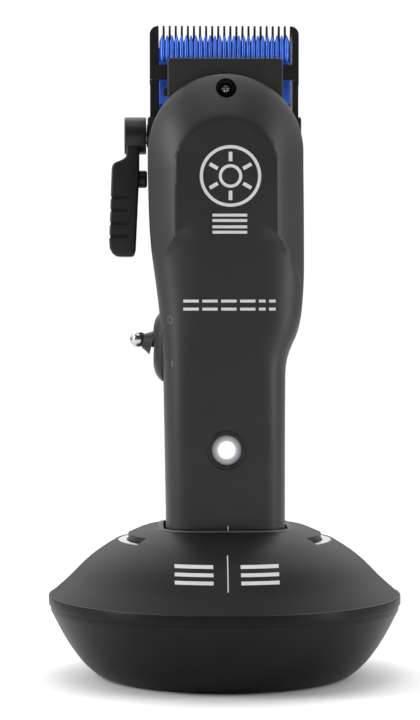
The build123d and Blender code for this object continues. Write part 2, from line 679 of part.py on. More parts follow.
with BuildPart() as cutter_blade:
    with BuildSketch(Plane.XZ.offset(-CUTTER_BACK_Y)):
        with BuildLine():
            Polyline((-CUTTER_HALF, CUTTER_TIP_Z), (-CUTTER_HALF, 172.2), (-18.8, 172.2), (-18.8, 175.2),
                     (-9.0, 175.2), (-9.0, 168.0), (9.0, 168.0), (9.0, 175.2), (18.8, 175.2),
                     (18.8, 172.2), (CUTTER_HALF, 172.2), (CUTTER_HALF, CUTTER_TIP_Z), close=True)
        make_face()
    extrude(amount=CUTTER_BACK_Y - CUTTER_FRONT_Y)
    # notches between the pointed teeth
    with BuildSketch(Plane.XZ.offset(-CUTTER_BACK_Y - 1)):
        with Locations((0, CUTTER_TIP_Z)):
            with GridLocations(CUTTER_PITCH, 1, CUTTER_TEETH + 1, 1):
                with BuildLine():
                    half = CUTTER_PITCH / 2 - 0.12
                    Polyline((-half, 0.2), (0, CUTTER_ROOT_Z - CUTTER_TIP_Z), (half, 0.2), close=True)
                make_face()
    extrude(amount=4, mode=Mode.SUBTRACT)
    # grooves between the ribs, on the front face only
    with BuildSketch(Plane.XZ.offset(-CUTTER_FRONT_Y)):
        with Locations((0, (CUTTER_TIP_Z + RIB_LOW_Z) / 2)):
            with GridLocations(CUTTER_PITCH, 1, CUTTER_TEETH + 1, 1):
                Rectangle(0.5, CUTTER_TIP_Z - RIB_LOW_Z)
    extrude(amount=-0.6, mode=Mode.SUBTRACT)
    with BuildSketch(Plane.XZ.offset(-CUTTER_BACK_Y)):
        with Locations((-6, 171.5), (6, 171.5)):
            Circle(1.1)
    extrude(amount=4, mode=Mode.SUBTRACT)
save(cutter_blade.part, "cutter_blade")

# ---------------------------------------------------------------- drive
with BuildPart() as cutter_follower:
    with BuildSketch(Plane.XY.offset(158.6)):
        with Locations((0, -0.9)):
            RectangleRounded(13.0, 11.4, 2.0)
        with Locations((0, -0.6)):
            RectangleRounded(2 * (CRANK_PIN_R + 0.36), 8.4, 1.6, mode=Mode.SUBTRACT)
    extrude(amount=5.9)
    with BuildSketch(Plane.XZ.offset(-CUTTER_FRONT_Y + 0.05)):
        with Locations((0, 164.5)):
            Rectangle(13.0, 5.0, align=(Align.CENTER, Align.MIN))
        with Locations((0, 171.5)):
            RectangleRounded(17.0, 6.0, 1.5)
    extrude(amount=1.4)
    with BuildSketch(Plane.XZ.offset(-CUTTER_FRONT_Y)):
        with Locations((-6, 171.5), (6, 171.5)):
            Circle(1.1)
    extrude(amount=4, mode=Mode.SUBTRACT)
save(cutter_follower.part, "cutter_follower")

with BuildPart() as follower_screws:
    with BuildSketch(Plane.XZ.offset(-CUTTER_FRONT_Y + 1.47)):
        with Locations((-6, 171.5), (6, 171.5)):
            Circle(2.0)
    extrude(amount=0.8)
    with BuildSketch(Plane.XZ.offset(-CUTTER_BACK_Y)):
        with Locations((-6, 171.5), (6, 171.5)):
            Circle(1.1)
    extrude(amount=CUTTER_BACK_Y - CUTTER_FRONT_Y + 1.5)
save(follower_screws.part, "follower_screws")

with BuildPart() as motor_can:
    with BuildSketch(Plane.XY.offset(MOTOR_LOW_Z)):
        Circle(MOTOR_R)
    extrude(amount=MOTOR_HIGH_Z - MOTOR_LOW_Z)
    fillet(motor_can.edges().group_by(Axis.Z)[-1], 1.2)
    with BuildSketch(Plane.XY.offset(MOTOR_LOW_Z)):
        Circle(MOTOR_R - 1.0)
    extrude(amount=MOTOR_HIGH_Z - MOTOR_LOW_Z - 2.2, mode=Mode.SUBTRACT)
    with BuildSketch(Plane.XY.offset(MOTOR_LOW_Z)):
        Circle(3.5)
        with Locations((-8, 0), (8, 0)):
            Circle(1.0)
    extrude(amount=40, mode=Mode.SUBTRACT)
save(motor_can.part, "motor_can")

with BuildPart() as motor_end_bell:
    with BuildSketch(Plane.XY.offset(MOTOR_LOW_Z - 3.0)):
        Circle(MOTOR_R - 0.4)
        Circle(3.5, mode=Mode.SUBTRACT)
    extrude(amount=3.0)
    with BuildSketch(Plane.XY.offset(MOTOR_LOW_Z - 5.0)):
        for side in (-1, 1):
            with Locations((side * 8, 0)):
                Rectangle(0.6, 2.6)
    extrude(amount=2.0)
save(motor_end_bell.part, "motor_end_bell")

with BuildPart() as motor_bearings:
    for low in (MOTOR_LOW_Z - 3.0, MOTOR_HIGH_Z - 2.2):
        with BuildSketch(Plane.XY.offset(low)):
            Circle(3.5)
            Circle(SHAFT_R + FIT, mode=Mode.SUBTRACT)
        extrude(amount=2.2)
save(motor_bearings.part, "motor_bearings")

with BuildPart() as motor_magnets:
    with BuildSketch(Plane.XY.offset(MOTOR_LOW_Z + 3.0)):
        Circle(MOTOR_R - 1.0)
        Circle(9.9, mode=Mode.SUBTRACT)
        Rectangle(8, 40, mode=Mode.SUBTRACT)
    extrude(amount=23.0)
save(motor_magnets.part, "motor_magnets")

with BuildPart() as armature:
    with BuildSketch(Plane.XY.offset(MOTOR_LOW_Z + 3.5)):
        Circle(9.4)
        with PolarLocations(9.4, 5):
            Rectangle(5.0, 1.6, mode=Mode.SUBTRACT)
        Circle(SHAFT_R, mode=Mode.SUBTRACT)
    extrude(amount=22.0)
save(armature.part, "armature")

with BuildPart() as motor_shaft:
    with BuildSketch(Plane.XY.offset(MOTOR_LOW_Z - 2.8)):
        Circle(SHAFT_R)
    extrude(amount=157.4 - MOTOR_LOW_Z + 2.8)
    chamfer(motor_shaft.edges().filter_by(GeomType.CIRCLE), 0.25)
save(motor_shaft.part, "motor_shaft")

with BuildPart() as eccentric_cam:
    with BuildSketch(Plane.XY.offset(154.0)):
        Circle(CAM_R)
        Circle(SHAFT_R, mode=Mode.SUBTRACT)
    extrude(amount=3.4)
    with BuildSketch(Plane.XY.offset(157.4)):
        Circle(CAM_R)
    extrude(amount=0.8)
save(eccentric_cam.part, "eccentric_cam")

with BuildPart() as crank_pin:
    with BuildSketch(Plane.XY.offset(158.2)):
        with Locations((0, -CRANK)):
            Circle(CRANK_PIN_R)
    extrude(amount=5.6)
    fillet(crank_pin.edges().group_by(Axis.Z)[-1], 0.4)
save(crank_pin.part, "crank_pin")

with BuildPart() as counterweight:
    with BuildSketch(Plane.XY.offset(154.2)):
        Circle(7.6)
        Circle(CAM_R, mode=Mode.SUBTRACT)
        with Locations((0, -10.5)):
            Rectangle(30, 22, mode=Mode.SUBTRACT)
    extrude(amount=3.2)
save(counterweight.part, "counterweight")

with BuildPart() as motor_mount:
    with BuildSketch(Plane.XY.offset(MOTOR_HIGH_Z + 0.05)):
        with Locations((0, -0.5)):
            RectangleRounded(27.0, 30.0, 5.0)
        Circle(4.5, mode=Mode.SUBTRACT)
        with Locations((-8, 0), (8, 0)):
            Circle(1.2, mode=Mode.SUBTRACT)
    extrude(amount=2.2)
    # two long straps run down beside the motor, front and back
    with BuildSketch(Plane.XY.offset(126.0)):
        with Locations((0, -13.9), (0, 13.0)):
            Rectangle(12.0, 1.6)
    extrude(amount=MOTOR_HIGH_Z - 126.0 + 0.05)
save(motor_mount.part, "motor_mount")

with BuildPart() as motor_screws:
    with BuildSketch(Plane.XY.offset(MOTOR_HIGH_Z + 2.27)):
        with Locations((-8, 0), (8, 0)):
            Circle(1.7)
    extrude(amount=1.2)
    with BuildSketch(Plane.XY.offset(MOTOR_HIGH_Z - 2.0)):
        with Locations((-8, 0), (8, 0)):
            Circle(1.0)
    extrude(amount=4.3)
save(motor_screws.part, "motor_screws")

# ---------------------------------------------------------------- battery and electronics
BATTERY_R = 9.2

with BuildPart() as battery_cell:
    with BuildSketch(Plane.XY.offset(36.0)):
        Circle(BATTERY_R)
    extrude(amount=64.0)
    fillet(battery_cell.edges().filter_by(GeomType.CIRCLE), 0.8)
    with BuildSketch(Plane.XY.offset(100.0)):
        Circle(3.0)
    extrude(amount=1.0)
save(battery_cell.part, "battery_cell")

with BuildPart() as battery_holder:
    with BuildSketch(Plane.XY.offset(34.4)):
        with Locations((0, 1.2)):
            RectangleRounded(18.0, 21.0, 2.0)
    extrude(amount=1.55)
    with BuildSketch(Plane.XY.offset(101.05)):
        with Locations((0, 1.2)):
            RectangleRounded(18.0, 21.0, 2.0)
    extrude(amount=1.55)
    with BuildSketch(Plane.XY.offset(34.4)):
        with Locations((0, 10.9)):
            Rectangle(14.0, 1.6)
    extrude(amount=68.2)
save(battery_holder.part, "battery_holder")

with BuildPart() as circuit_board:
    with BuildSketch(Plane.XZ.offset(11.6)):
        with Locations((0, 84.0)):
            RectangleRounded(24.0, 56.0, 2.0)
    extrude(amount=1.6)
save(circuit_board.part, "circuit_board")

with BuildPart() as indicator_led:
    with BuildSketch(Plane.XZ.offset(13.2)):
        with Locations((0, BUTTON_Z)):
            Rectangle(2.4, 2.4)
    extrude(amount=0.9)
save(indicator_led.part, "indicator_led")

with BuildPart() as tactile_switches:
    with BuildSketch(Plane.XZ.offset(13.2)):
        with Locations((-3.7, BUTTON_Z), (3.7, BUTTON_Z)):
            Rectangle(2.0, 3.0)
    extrude(amount=1.1)
save(tactile_switches.part, "tactile_switches")

with BuildPart() as button_bezel:
    with BuildSketch(Plane.XZ.offset(15.6)):
        with Locations((0, BUTTON_Z)):
            Circle(5.9)
            Circle(4.7, mode=Mode.SUBTRACT)
    extrude(amount=3.6)
    chamfer(button_bezel.faces().sort_by(Axis.Y)[0].edges(), 0.25)
save(button_bezel.part, "button_bezel")

with BuildPart() as button_cap:
    with BuildSketch(Plane.XZ.offset(15.2)):
        with Locations((0, BUTTON_Z)):
            Circle(4.6)
            Circle(2.75, mode=Mode.SUBTRACT)
    extrude(amount=3.5)
    fillet(button_cap.edges().filter_by(GeomType.CIRCLE).group_by(Axis.Y)[0], 0.3)
save(button_cap.part, "button_cap")

with BuildPart() as button_lens:
    with BuildSketch(Plane.XZ.offset(15.2)):
        with Locations((0, BUTTON_Z)):
            Circle(2.75)
    extrude(amount=3.3)
    fillet(button_lens.edges().group_by(Axis.Y)[0], 0.5)
save(button_lens.part, "button_lens")

# ---------------------------------------------------------------- power toggle
PLATE_X = -22.0
toggle_axis = Vector(-cos(radians(TOGGLE_TILT)), 0, sin(radians(TOGGLE_TILT)))
toggle_pivot = Vector(TOGGLE_X, 0, TOGGLE_Z)

with BuildPart() as switch_plate:
    with BuildSketch(Plane.YZ.offset(PLATE_X)):
        with Locations((0, TOGGLE_Z)):
            RectangleRounded(17.0, 21.6, 5.0)
    extrude(amount=5.5)
    fillet(switch_plate.faces().sort_by(Axis.X)[0].edges(), 1.2)
    with BuildSketch(Plane.YZ.offset(PLATE_X)):
        with Locations((0, TOGGLE_Z)):
            Circle(5.2)
    extrude(amount=1.35, mode=Mode.SUBTRACT)
    with BuildSketch(Plane.YZ.offset(PLATE_X)):
        with Locations((0, TOGGLE_Z)):
            Circle(4.05)
    extrude(amount=8, mode=Mode.SUBTRACT)
    add(whole_body, mode=Mode.SUBTRACT)
save(switch_plate.part, "switch_plate")

with BuildPart() as switch_bush:
    with BuildSketch(Plane.YZ.offset(PLATE_X + 1.4)):
        with Locations((0, TOGGLE_Z)):
            Circle(4.0)
            Circle(2.7, mode=Mode.SUBTRACT)
    extrude(amount=4.0)
save(switch_bush.part, "switch_bush")

with BuildPart() as switch_body:
    with BuildSketch(Plane.YZ.offset(-16.45)):
        with Locations((0, TOGGLE_Z)):
            Rectangle(8.0, 13.0)
    extrude(amount=6.0)
    with BuildSketch(Plane.YZ.offset(-10.45)):
        for step in (-4, 0, 4):
            with Locations((0, TOGGLE_Z + step)):
                Rectangle(2.0, 0.6)
    extrude(amount=1.0)
save(switch_body.part, "switch_body")

with BuildPart() as toggle_bat:
    with BuildSketch(Plane(origin=toggle_pivot + toggle_axis * 0.8, z_dir=toggle_axis)):
        Circle(1.35)
    extrude(amount=4.0)
    with BuildSketch(Plane(origin=toggle_pivot + toggle_axis * 4.6, z_dir=toggle_axis)):
        Circle(3.8)
    with BuildSketch(Plane(origin=toggle_pivot + toggle_axis * 7.6, z_dir=toggle_axis)):
        Circle(2.1)
    loft()
    # the square root of the bat and the pin it rocks on
    with BuildSketch(Plane(origin=toggle_pivot - toggle_axis, x_dir=(0, 1, 0), z_dir=toggle_axis)):
        Rectangle(1.6, 1.6)
    extrude(amount=1.9)
    with BuildSketch(Plane.XZ.offset(-TOGGLE_PIN_HALF)):
        with Locations((toggle_pivot.X, toggle_pivot.Z)):
            Circle(TOGGLE_PIN_R)
    extrude(amount=2 * TOGGLE_PIN_HALF)
save(toggle_bat.part, "toggle_bat")

with BuildPart() as toggle_ball:
    with Locations(toggle_pivot + toggle_axis * 9.02):
        Sphere(2.54)
    with BuildSketch(Plane(origin=toggle_pivot + toggle_axis * 7.6, z_dir=toggle_axis)):
        Circle(5)
    extrude(amount=-6, mode=Mode.SUBTRACT)
save(toggle_ball.part, "toggle_ball")

# ---------------------------------------------------------------- taper lever
HUB_X = -30.8
HUB_INNER_X = -24.1
POST_Z = 152.6

with BuildPart() as taper_lever:
    with BuildSketch(Plane.XZ.offset(-LEVER_Y)):
        with BuildLine():
            shoulder = Spline((-30.3, 159.5), (-31.4, 158.6), (-34.1, 157.3))
            Polyline((-26.2, 163.0), (-30.3, 163.0), shoulder @ 0)
            Polyline(shoulder @ 1, (-34.6, 156.6), (-35.5, 132.4), (-34.6, 129.6), (-32.4, 128.6),
                     (-28.0, 128.6), (-27.3, 130.6), (-26.2, 155.0), (-26.2, 163.0))
        make_face()
    extrude(amount=4.8, both=True)
    # grooves across the grip
    with BuildSketch(Plane.XZ.offset(-LEVER_Y)):
        for step in range(4):
            with Locations((-35.6, 146.9 - 4.0 * step)):
                Rectangle(1.6, 1.2)
    extrude(amount=6, both=True, mode=Mode.SUBTRACT)
    with BuildSketch(Plane.YZ.offset(HUB_X)):
        with Locations((LEVER_Y, LEVER_Z)):
            Circle(LEVER_HUB_R)
    extrude(amount=HUB_INNER_X - HUB_X)
    with BuildSketch(Plane.YZ.offset(HUB_X)):
        with Locations((LEVER_Y, LEVER_Z)):
            Circle(3.1)
    extrude(amount=2.2, mode=Mode.SUBTRACT)
    with BuildSketch(Plane.YZ.offset(HUB_X)):
        with Locations((LEVER_Y, LEVER_Z)):
            Circle(1.6)
    extrude(amount=10, mode=Mode.SUBTRACT)
    with BuildSketch(Plane.YZ.offset(-27.0)):
        with Locations((LEVER_Y, LEVER_Z)):
            Circle(LEVER_SHAFT_R)
    extrude(amount=4, mode=Mode.SUBTRACT)
    with BuildSketch(Plane.YZ.offset(-30.6)):
        with Locations((LEVER_Y, POST_Z)):
            Circle(2.75)
    extrude(amount=6, mode=Mode.SUBTRACT)
save(taper_lever.part, "taper_lever")

with BuildPart() as lever_shaft:
    with BuildSketch(Plane.YZ.offset(-26.95)):
        with Locations((LEVER_Y, LEVER_Z)):
            Circle(LEVER_SHAFT_R)
    extrude(amount=6.6)
    with BuildSketch(Plane.YZ.offset(-20.35)):
        with Locations((TAPER_PIN_Y, TAPER_PIN_Z)):
            Circle(TAPER_PIN_R)
    extrude(amount=2.4)
    with BuildSketch(Plane.YZ.offset(-26.95)):
        with Locations((LEVER_Y, LEVER_Z)):
            Circle(1.25)
    extrude(amount=5, mode=Mode.SUBTRACT)
save(lever_shaft.part, "lever_shaft")

with BuildPart() as lever_screw:
    with BuildSketch(Plane.YZ.offset(HUB_X + 0.6)):
        with Locations((LEVER_Y, LEVER_Z)):
            Circle(2.9)
    extrude(amount=1.6)
    fillet(lever_screw.edges().group_by(Axis.X)[0], 0.4)
    with BuildSketch(Plane.YZ.offset(HUB_X + 0.6)):
        with Locations((LEVER_Y, LEVER_Z)):
            Rectangle(3.4, 0.7)
            Rectangle(0.7, 3.4)
    extrude(amount=0.9, mode=Mode.SUBTRACT)
    with BuildSketch(Plane.YZ.offset(HUB_X + 2.2)):
        with Locations((LEVER_Y, LEVER_Z)):
            Circle(1.25)
    extrude(amount=6.0)
save(lever_screw.part, "lever_screw")

with BuildPart() as lever_bush:
    with BuildSketch(Plane.YZ.offset(-23.9)):
        with Locations((LEVER_Y, LEVER_Z)):
            Circle(LEVER_BUSH_R)
            Circle(LEVER_SHAFT_R + FIT, mode=Mode.SUBTRACT)
    extrude(amount=3.0)
save(lever_bush.part, "lever_bush")

with BuildPart() as detent_post:
    with BuildSketch(Plane.YZ.offset(-28.6)):
        with Locations((LEVER_Y, POST_Z)):
            Circle(2.7)
    extrude(amount=4.8)
    fillet(detent_post.edges().group_by(Axis.X)[-1], 0.8)
save(detent_post.part, "detent_post")

with BuildPart() as detent_spring:
    with BuildLine():
        coil = Helix(pitch=0.7, height=1.6, radius=2.0, center=(-30.4, LEVER_Y, POST_Z), direction=(1, 0, 0))
    with BuildSketch(Plane(origin=coil @ 0, z_dir=coil % 0)):
        Circle(0.18)
    sweep(path=coil)
save(detent_spring.part, "detent_spring")
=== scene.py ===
import json
import math

import bmesh
import bpy
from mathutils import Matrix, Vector


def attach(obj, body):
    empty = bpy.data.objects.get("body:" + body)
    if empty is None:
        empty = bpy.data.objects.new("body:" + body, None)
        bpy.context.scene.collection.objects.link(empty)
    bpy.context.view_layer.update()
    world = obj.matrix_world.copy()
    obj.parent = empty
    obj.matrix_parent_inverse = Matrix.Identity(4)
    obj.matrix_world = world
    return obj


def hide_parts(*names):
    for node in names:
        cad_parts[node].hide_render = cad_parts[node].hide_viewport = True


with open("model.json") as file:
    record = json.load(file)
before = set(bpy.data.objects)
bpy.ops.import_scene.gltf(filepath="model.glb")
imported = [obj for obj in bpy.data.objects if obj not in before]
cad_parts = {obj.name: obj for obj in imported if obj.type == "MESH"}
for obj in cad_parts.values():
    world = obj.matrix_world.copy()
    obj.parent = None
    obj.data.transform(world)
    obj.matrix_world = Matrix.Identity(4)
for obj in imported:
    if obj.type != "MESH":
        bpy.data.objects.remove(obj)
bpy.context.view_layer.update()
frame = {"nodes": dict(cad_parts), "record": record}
MM = 0.001
scene = bpy.context.scene

# ---------------------------------------------------------------- camera and light
CAMERA_AT = Vector((-0.024, -0.690, 0.1135))
LOOK_AT = Vector((-0.0045, 0.0, 0.0968))
LENS = 112.1
SENSOR_WIDTH = 36.0

camera_data = bpy.data.cameras.new("camera")
camera_data.lens = LENS
camera_data.sensor_width = SENSOR_WIDTH
camera_data.clip_start = 0.02
camera_data.clip_end = 20.0
camera = bpy.data.objects.new("camera", camera_data)
scene.collection.objects.link(camera)
camera.location = CAMERA_AT
camera.rotation_mode = "QUATERNION"
camera.rotation_quaternion = (LOOK_AT - CAMERA_AT).to_track_quat("-Z", "Y")
scene.camera = camera
scene.view_settings.view_transform = "Standard"

world = bpy.data.worlds.new("studio")
world.use_nodes = True
# A pure white backdrop for the camera. The object is lit by a dim room with a bright bank of light behind and
# above it, and softer light from the sides.
ROOM_LIGHT = 0.09
BANK_LIGHT = 3.75
SIDE_LIGHT = 0.24
BACKDROP = 1.02
sky = world.node_tree
aim = sky.nodes.new("ShaderNodeTexCoord")
parts_of = sky.nodes.new("ShaderNodeSeparateXYZ")
sky.links.new(aim.outputs["Generated"], parts_of.inputs["Vector"])


def sky_range(source, from_low, from_high, to_low, to_high):
    """A clamped change of range of one value of the sky."""
    node = sky.nodes.new("ShaderNodeMapRange")
    node.inputs["From Min"].default_value = from_low
    node.inputs["From Max"].default_value = from_high
    node.inputs["To Min"].default_value = to_low
    node.inputs["To Max"].default_value = to_high
    sky.links.new(source, node.inputs["Value"])
    return node.outputs["Result"]


def sky_math(operation, first, second):
    """One sum or product of two values of the sky."""
    node = sky.nodes.new("ShaderNodeMath")
    node.operation = operation
    sky.links.new(first, node.inputs[0])
    sky.links.new(second, node.inputs[1])
    return node.outputs["Value"]


height = sky_range(parts_of.outputs["Z"], 0.0, 1.0, 0.0, BANK_LIGHT)
behind = sky_range(parts_of.outputs["Y"], -0.25, 0.45, 0.0, 1.0)
bank = sky_math("MULTIPLY", height, behind)
side_left = sky_range(parts_of.outputs["X"], -0.9, -0.3, SIDE_LIGHT, 0.0)
side_right = sky_range(parts_of.outputs["X"], 0.4, 0.9, ROOM_LIGHT, ROOM_LIGHT + SIDE_LIGHT)
room = sky_math("ADD", bank, sky_math("ADD", side_left, side_right))
ray = sky.nodes.new("ShaderNodeLightPath")
level = sky.nodes.new("ShaderNodeMapRange")
level.inputs["To Max"].default_value = BACKDROP
sky.links.new(room, level.inputs["To Min"])
sky.links.new(ray.outputs["Is Camera Ray"], level.inputs["Value"])
sky.links.new(level.outputs["Result"], sky.nodes["Background"].inputs["Strength"])
sky.nodes["Background"].inputs["Color"].default_value = (1.0, 1.0, 1.0, 1.0)
scene.world = world


def soft_light(name, at, target, width, height, power):
    """A rectangular studio light, aimed at a point."""
    data = bpy.data.lights.new(name, "AREA")
    data.shape = "RECTANGLE"
    data.size = width
    data.size_y = height
    data.energy = power
    lamp = bpy.data.objects.new(name, data)
    scene.collection.objects.link(lamp)
    lamp.location = Vector(at)
    lamp.rotation_mode = "QUATERNION"
    lamp.rotation_quaternion = (Vector(target) - Vector(at)).to_track_quat("-Z", "Y")


HEAD = (0.0, 0.0, 0.12)
soft_light("key_left", (-0.62, -0.20, 0.36), HEAD, 0.16, 0.50, 3.4)
soft_light("fill_right", (0.62, -0.26, 0.30), HEAD, 0.16, 0.60, 2.6)
soft_light("top", (-0.05, -0.25, 0.80), (0.0, 0.0, 0.08), 0.4, 0.3, 1.0)

# ---------------------------------------------------------------- materials
BUMP_STRENGTH = 0.35
SMOOTHEST, ROUGHEST = 0.88, 1.14    # how far the grain moves the roughness, as shares of it


def link(tree, source, output, target, slot):
    """Joins an output of one node to an input of another."""
    tree.links.new(source.outputs[output], target.inputs[slot])


def make_material(name, colour, roughness, metallic=0.0, coat=0.0, coat_roughness=0.1, sheen=0.0,
                  grain_size=0.35, grain_depth=0.02, tone=0.12, tone_size=12.0, brushed=None,
                  emission=None, specular=0.5):
    """A procedural finish: fine grain in the bump, slow changes of tone and of roughness."""
    material = bpy.data.materials.new(name)
    material.use_nodes = True
    tree = material.node_tree
    shader = tree.nodes["Principled BSDF"]
    shader.inputs["Metallic"].default_value = metallic
    shader.inputs["Coat Weight"].default_value = coat
    shader.inputs["Coat Roughness"].default_value = coat_roughness
    shader.inputs["Sheen Weight"].default_value = sheen
    shader.inputs["Specular IOR Level"].default_value = specular
    place = tree.nodes.new("ShaderNodeTexCoord")
    stretch = tree.nodes.new("ShaderNodeMapping")
    stretch.inputs["Scale"].default_value = brushed or (1.0, 1.0, 1.0)
    link(tree, place, "Object", stretch, "Vector")

    grain = tree.nodes.new("ShaderNodeTexNoise")
    grain.inputs["Scale"].default_value = 1.0 / (grain_size * MM)
    grain.inputs["Detail"].default_value = 3.0
    link(tree, stretch, "Vector", grain, "Vector")
    bump = tree.nodes.new("ShaderNodeBump")
    bump.inputs["Strength"].default_value = BUMP_STRENGTH
    bump.inputs["Distance"].default_value = grain_depth * MM
    link(tree, grain, "Fac", bump, "Height")
    link(tree, bump, "Normal", shader, "Normal")

    slow = tree.nodes.new("ShaderNodeTexNoise")
    slow.inputs["Scale"].default_value = 1.0 / (tone_size * MM)
    slow.inputs["Detail"].default_value = 4.0
    link(tree, place, "Object", slow, "Vector")
    shade = tree.nodes.new("ShaderNodeValToRGB")
    shade.color_ramp.elements[0].position = 0.3
    shade.color_ramp.elements[1].position = 0.7
    shade.color_ramp.elements[0].color = [c * (1.0 - tone) for c in colour] + [1.0]
    shade.color_ramp.elements[1].color = [min(1.0, c * (1.0 + tone)) for c in colour] + [1.0]
    link(tree, slow, "Fac", shade, "Fac")
    link(tree, shade, "Color", shader, "Base Color")

    worn = tree.nodes.new("ShaderNodeMapRange")
    worn.inputs["To Min"].default_value = roughness * SMOOTHEST
    worn.inputs["To Max"].default_value = min(1.0, roughness * ROUGHEST)
    link(tree, grain, "Fac", worn, "Value")
    link(tree, worn, "Result", shader, "Roughness")
    if emission:
        glow, strength = emission
        shader.inputs["Emission Color"].default_value = (*glow, 1.0)
        shader.inputs["Emission Strength"].default_value = strength
    return material


BODY = make_material("soft_touch_black", (0.014, 0.014, 0.015), 0.42, specular=0.30, grain_size=0.30,
                     grain_depth=0.012)
DOCK = make_material("satin_black", (0.009, 0.009, 0.0095), 0.38, specular=0.10, grain_size=0.25,
                     grain_depth=0.006)
LINER = make_material("liner_grey", (0.045, 0.045, 0.047), 0.55, grain_size=0.3, grain_depth=0.02)
TRIM = make_material("trim_black", (0.010, 0.010, 0.011), 0.40, specular=0.25, grain_size=0.22,
                     grain_depth=0.01)
BLADE = make_material("carbon_coat", (0.006, 0.006, 0.007), 0.30, coat=0.25, brushed=(1.0, 1.0, 0.08),
                      grain_size=0.12, grain_depth=0.006, specular=0.4)
BLUE = make_material("blue_coat", (0.016, 0.085, 0.52), 0.30, metallic=0.55, brushed=(1.0, 1.0, 0.05),
                     grain_size=0.10, grain_depth=0.006, tone=0.2, tone_size=3.0)
# a lighter copy of the blue coat for the ribs: a painted highlight along each rib
BLUE_RIB_PAINTED_HIGHLIGHT = make_material("blue_ribs_painted_highlight", (0.035, 0.125, 0.58), 0.30, metallic=0.35, brushed=(1.0, 1.0, 0.05),
                           grain_size=0.10, grain_depth=0.006, tone=0.25, tone_size=2.0)
CHROME = make_material("chrome", (0.42, 0.42, 0.44), 0.16, metallic=1.0, grain_depth=0.001, tone=0.04)
STEEL = make_material("steel", (0.55, 0.55, 0.56), 0.30, metallic=1.0, brushed=(1.0, 1.0, 0.1),
                      grain_size=0.15, grain_depth=0.006)
RUBBER = make_material("rubber", (0.02, 0.02, 0.02), 0.80, grain_size=0.4, grain_depth=0.03)
LIT = make_material("lit_white", (0.55, 0.57, 0.60), 0.30, coat=0.2, grain_depth=0.004, tone=0.03,
                    emission=((0.93, 0.97, 1.0), 0.12))
GOLD = make_material("contact_gold", (0.85, 0.62, 0.25), 0.25, metallic=1.0, grain_depth=0.003)
BRONZE = make_material("bronze", (0.45, 0.28, 0.12), 0.4, metallic=1.0, grain_depth=0.01)
COPPER = make_material("copper_winding", (0.55, 0.22, 0.10), 0.35, metallic=1.0, brushed=(1.0, 1.0, 0.15),
                       grain_size=0.4, grain_depth=0.05)
MAGNET = make_material("magnet", (0.07, 0.07, 0.075), 0.6, metallic=0.5, grain_depth=0.03)
BOARD = make_material("board_green", (0.015, 0.12, 0.045), 0.3, coat=0.3, grain_depth=0.01)
INNER = make_material("inner_plastic", (0.06, 0.06, 0.06), 0.5, grain_depth=0.02)
NYLON = make_material("nylon", (0.75, 0.73, 0.66), 0.45, grain_depth=0.02)
WRAP = make_material("battery_wrap", (0.02, 0.16, 0.34), 0.2, coat=0.4, grain_depth=0.004)
LENS_LIT = make_material("lens_lit", (0.9, 0.93, 0.97), 0.25, coat=0.4, grain_depth=0.004, tone=0.03,
                         emission=((0.95, 0.98, 1.0), 4.0))
GLOW_RING = make_material("glow_ring", (0.16, 0.16, 0.165), 0.35, grain_size=0.2, grain_depth=0.006,
                          emission=((0.9, 0.95, 1.0), 0.3))
PRINT = make_material("print_white", (0.50, 0.50, 0.50), 0.6, specular=0.2, grain_size=0.15,
                      grain_depth=0.004, tone=0.04)
PRINT_GREY = make_material("print_grey", (0.055, 0.055, 0.056), 0.5, grain_size=0.15, grain_depth=0.004)
FLOOR = make_material("floor_white", (0.86, 0.86, 0.86), 0.9, grain_size=2.0, grain_depth=0.02, tone=0.01,
                      tone_size=200.0, specular=0.0)

SLOT_LOOKS = {
    "body_black": BODY, "dock_black": DOCK, "liner_black": LINER, "trim_black": TRIM, "blade_black": BLADE,
    "cutter_blue": BLUE, "chrome": CHROME, "steel": STEEL, "rubber": RUBBER, "lit_white": LIT,
    "contact_gold": GOLD, "bronze": BRONZE, "copper": COPPER, "magnet": MAGNET, "board_green": BOARD,
    "inner_plastic": INNER, "nylon_white": NYLON, "battery_wrap": WRAP,
}


def round_shading(obj, degrees=32):
    """Smooth shading that keeps the edges sharper than an angle."""
    mesh = obj.data
    mesh.polygons.foreach_set("use_smooth", [True] * len(mesh.polygons))
    mesh.set_sharp_from_angle(angle=math.radians(degrees))


for part in frame["record"]["subparts"]:
    node = frame["nodes"][part["node"]]
    look = SLOT_LOOKS[part["material_slot"]]
    node.data.materials.clear()
    node.data.materials.append(look)

# ---------------------------------------------------------------- mesh helpers


def new_object(name, mesh, look, body, replaced=()):
    """A finished piece: in the scene, with a look, on its body."""
    obj = bpy.data.objects.new(name, mesh)
    scene.collection.objects.link(obj)
    mesh.materials.append(look)
    if replaced:
        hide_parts(*replaced)
    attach(obj, body)
    return obj


def mesh_from(name, points, faces):
    """A mesh from points in millimetres, with doubles joined."""
    mesh = bpy.data.meshes.new(name)
    mesh.from_pydata([(x * MM, y * MM, z * MM) for x, y, z in points], [], faces)
    tidy = bmesh.new()
    tidy.from_mesh(mesh)
    bmesh.ops.remove_doubles(tidy, verts=tidy.verts, dist=0.0004 * MM)
    bmesh.ops.dissolve_degenerate(tidy, edges=tidy.edges, dist=0.0002 * MM)
    bmesh.ops.recalc_face_normals(tidy, faces=tidy.faces)
    tidy.to_mesh(mesh)
    tidy.free()
    return mesh


def cut(obj, tool_meshes):
    """Cuts closed tool meshes out of an object, one by one, and applies each cut."""
    for tool in tool_meshes:
        cutter = bpy.data.objects.new("tool", tool)
        scene.collection.objects.link(cutter)
        step = obj.modifiers.new("cut", "BOOLEAN")
        step.operation = "DIFFERENCE"
        step.solver = "EXACT"
        step.object = cutter
        shaped = bpy.data.meshes.new_from_object(obj.evaluated_get(bpy.context.evaluated_depsgraph_get()))
        obj.modifiers.clear()
        obj.data = shaped
        bpy.data.objects.remove(cutter)


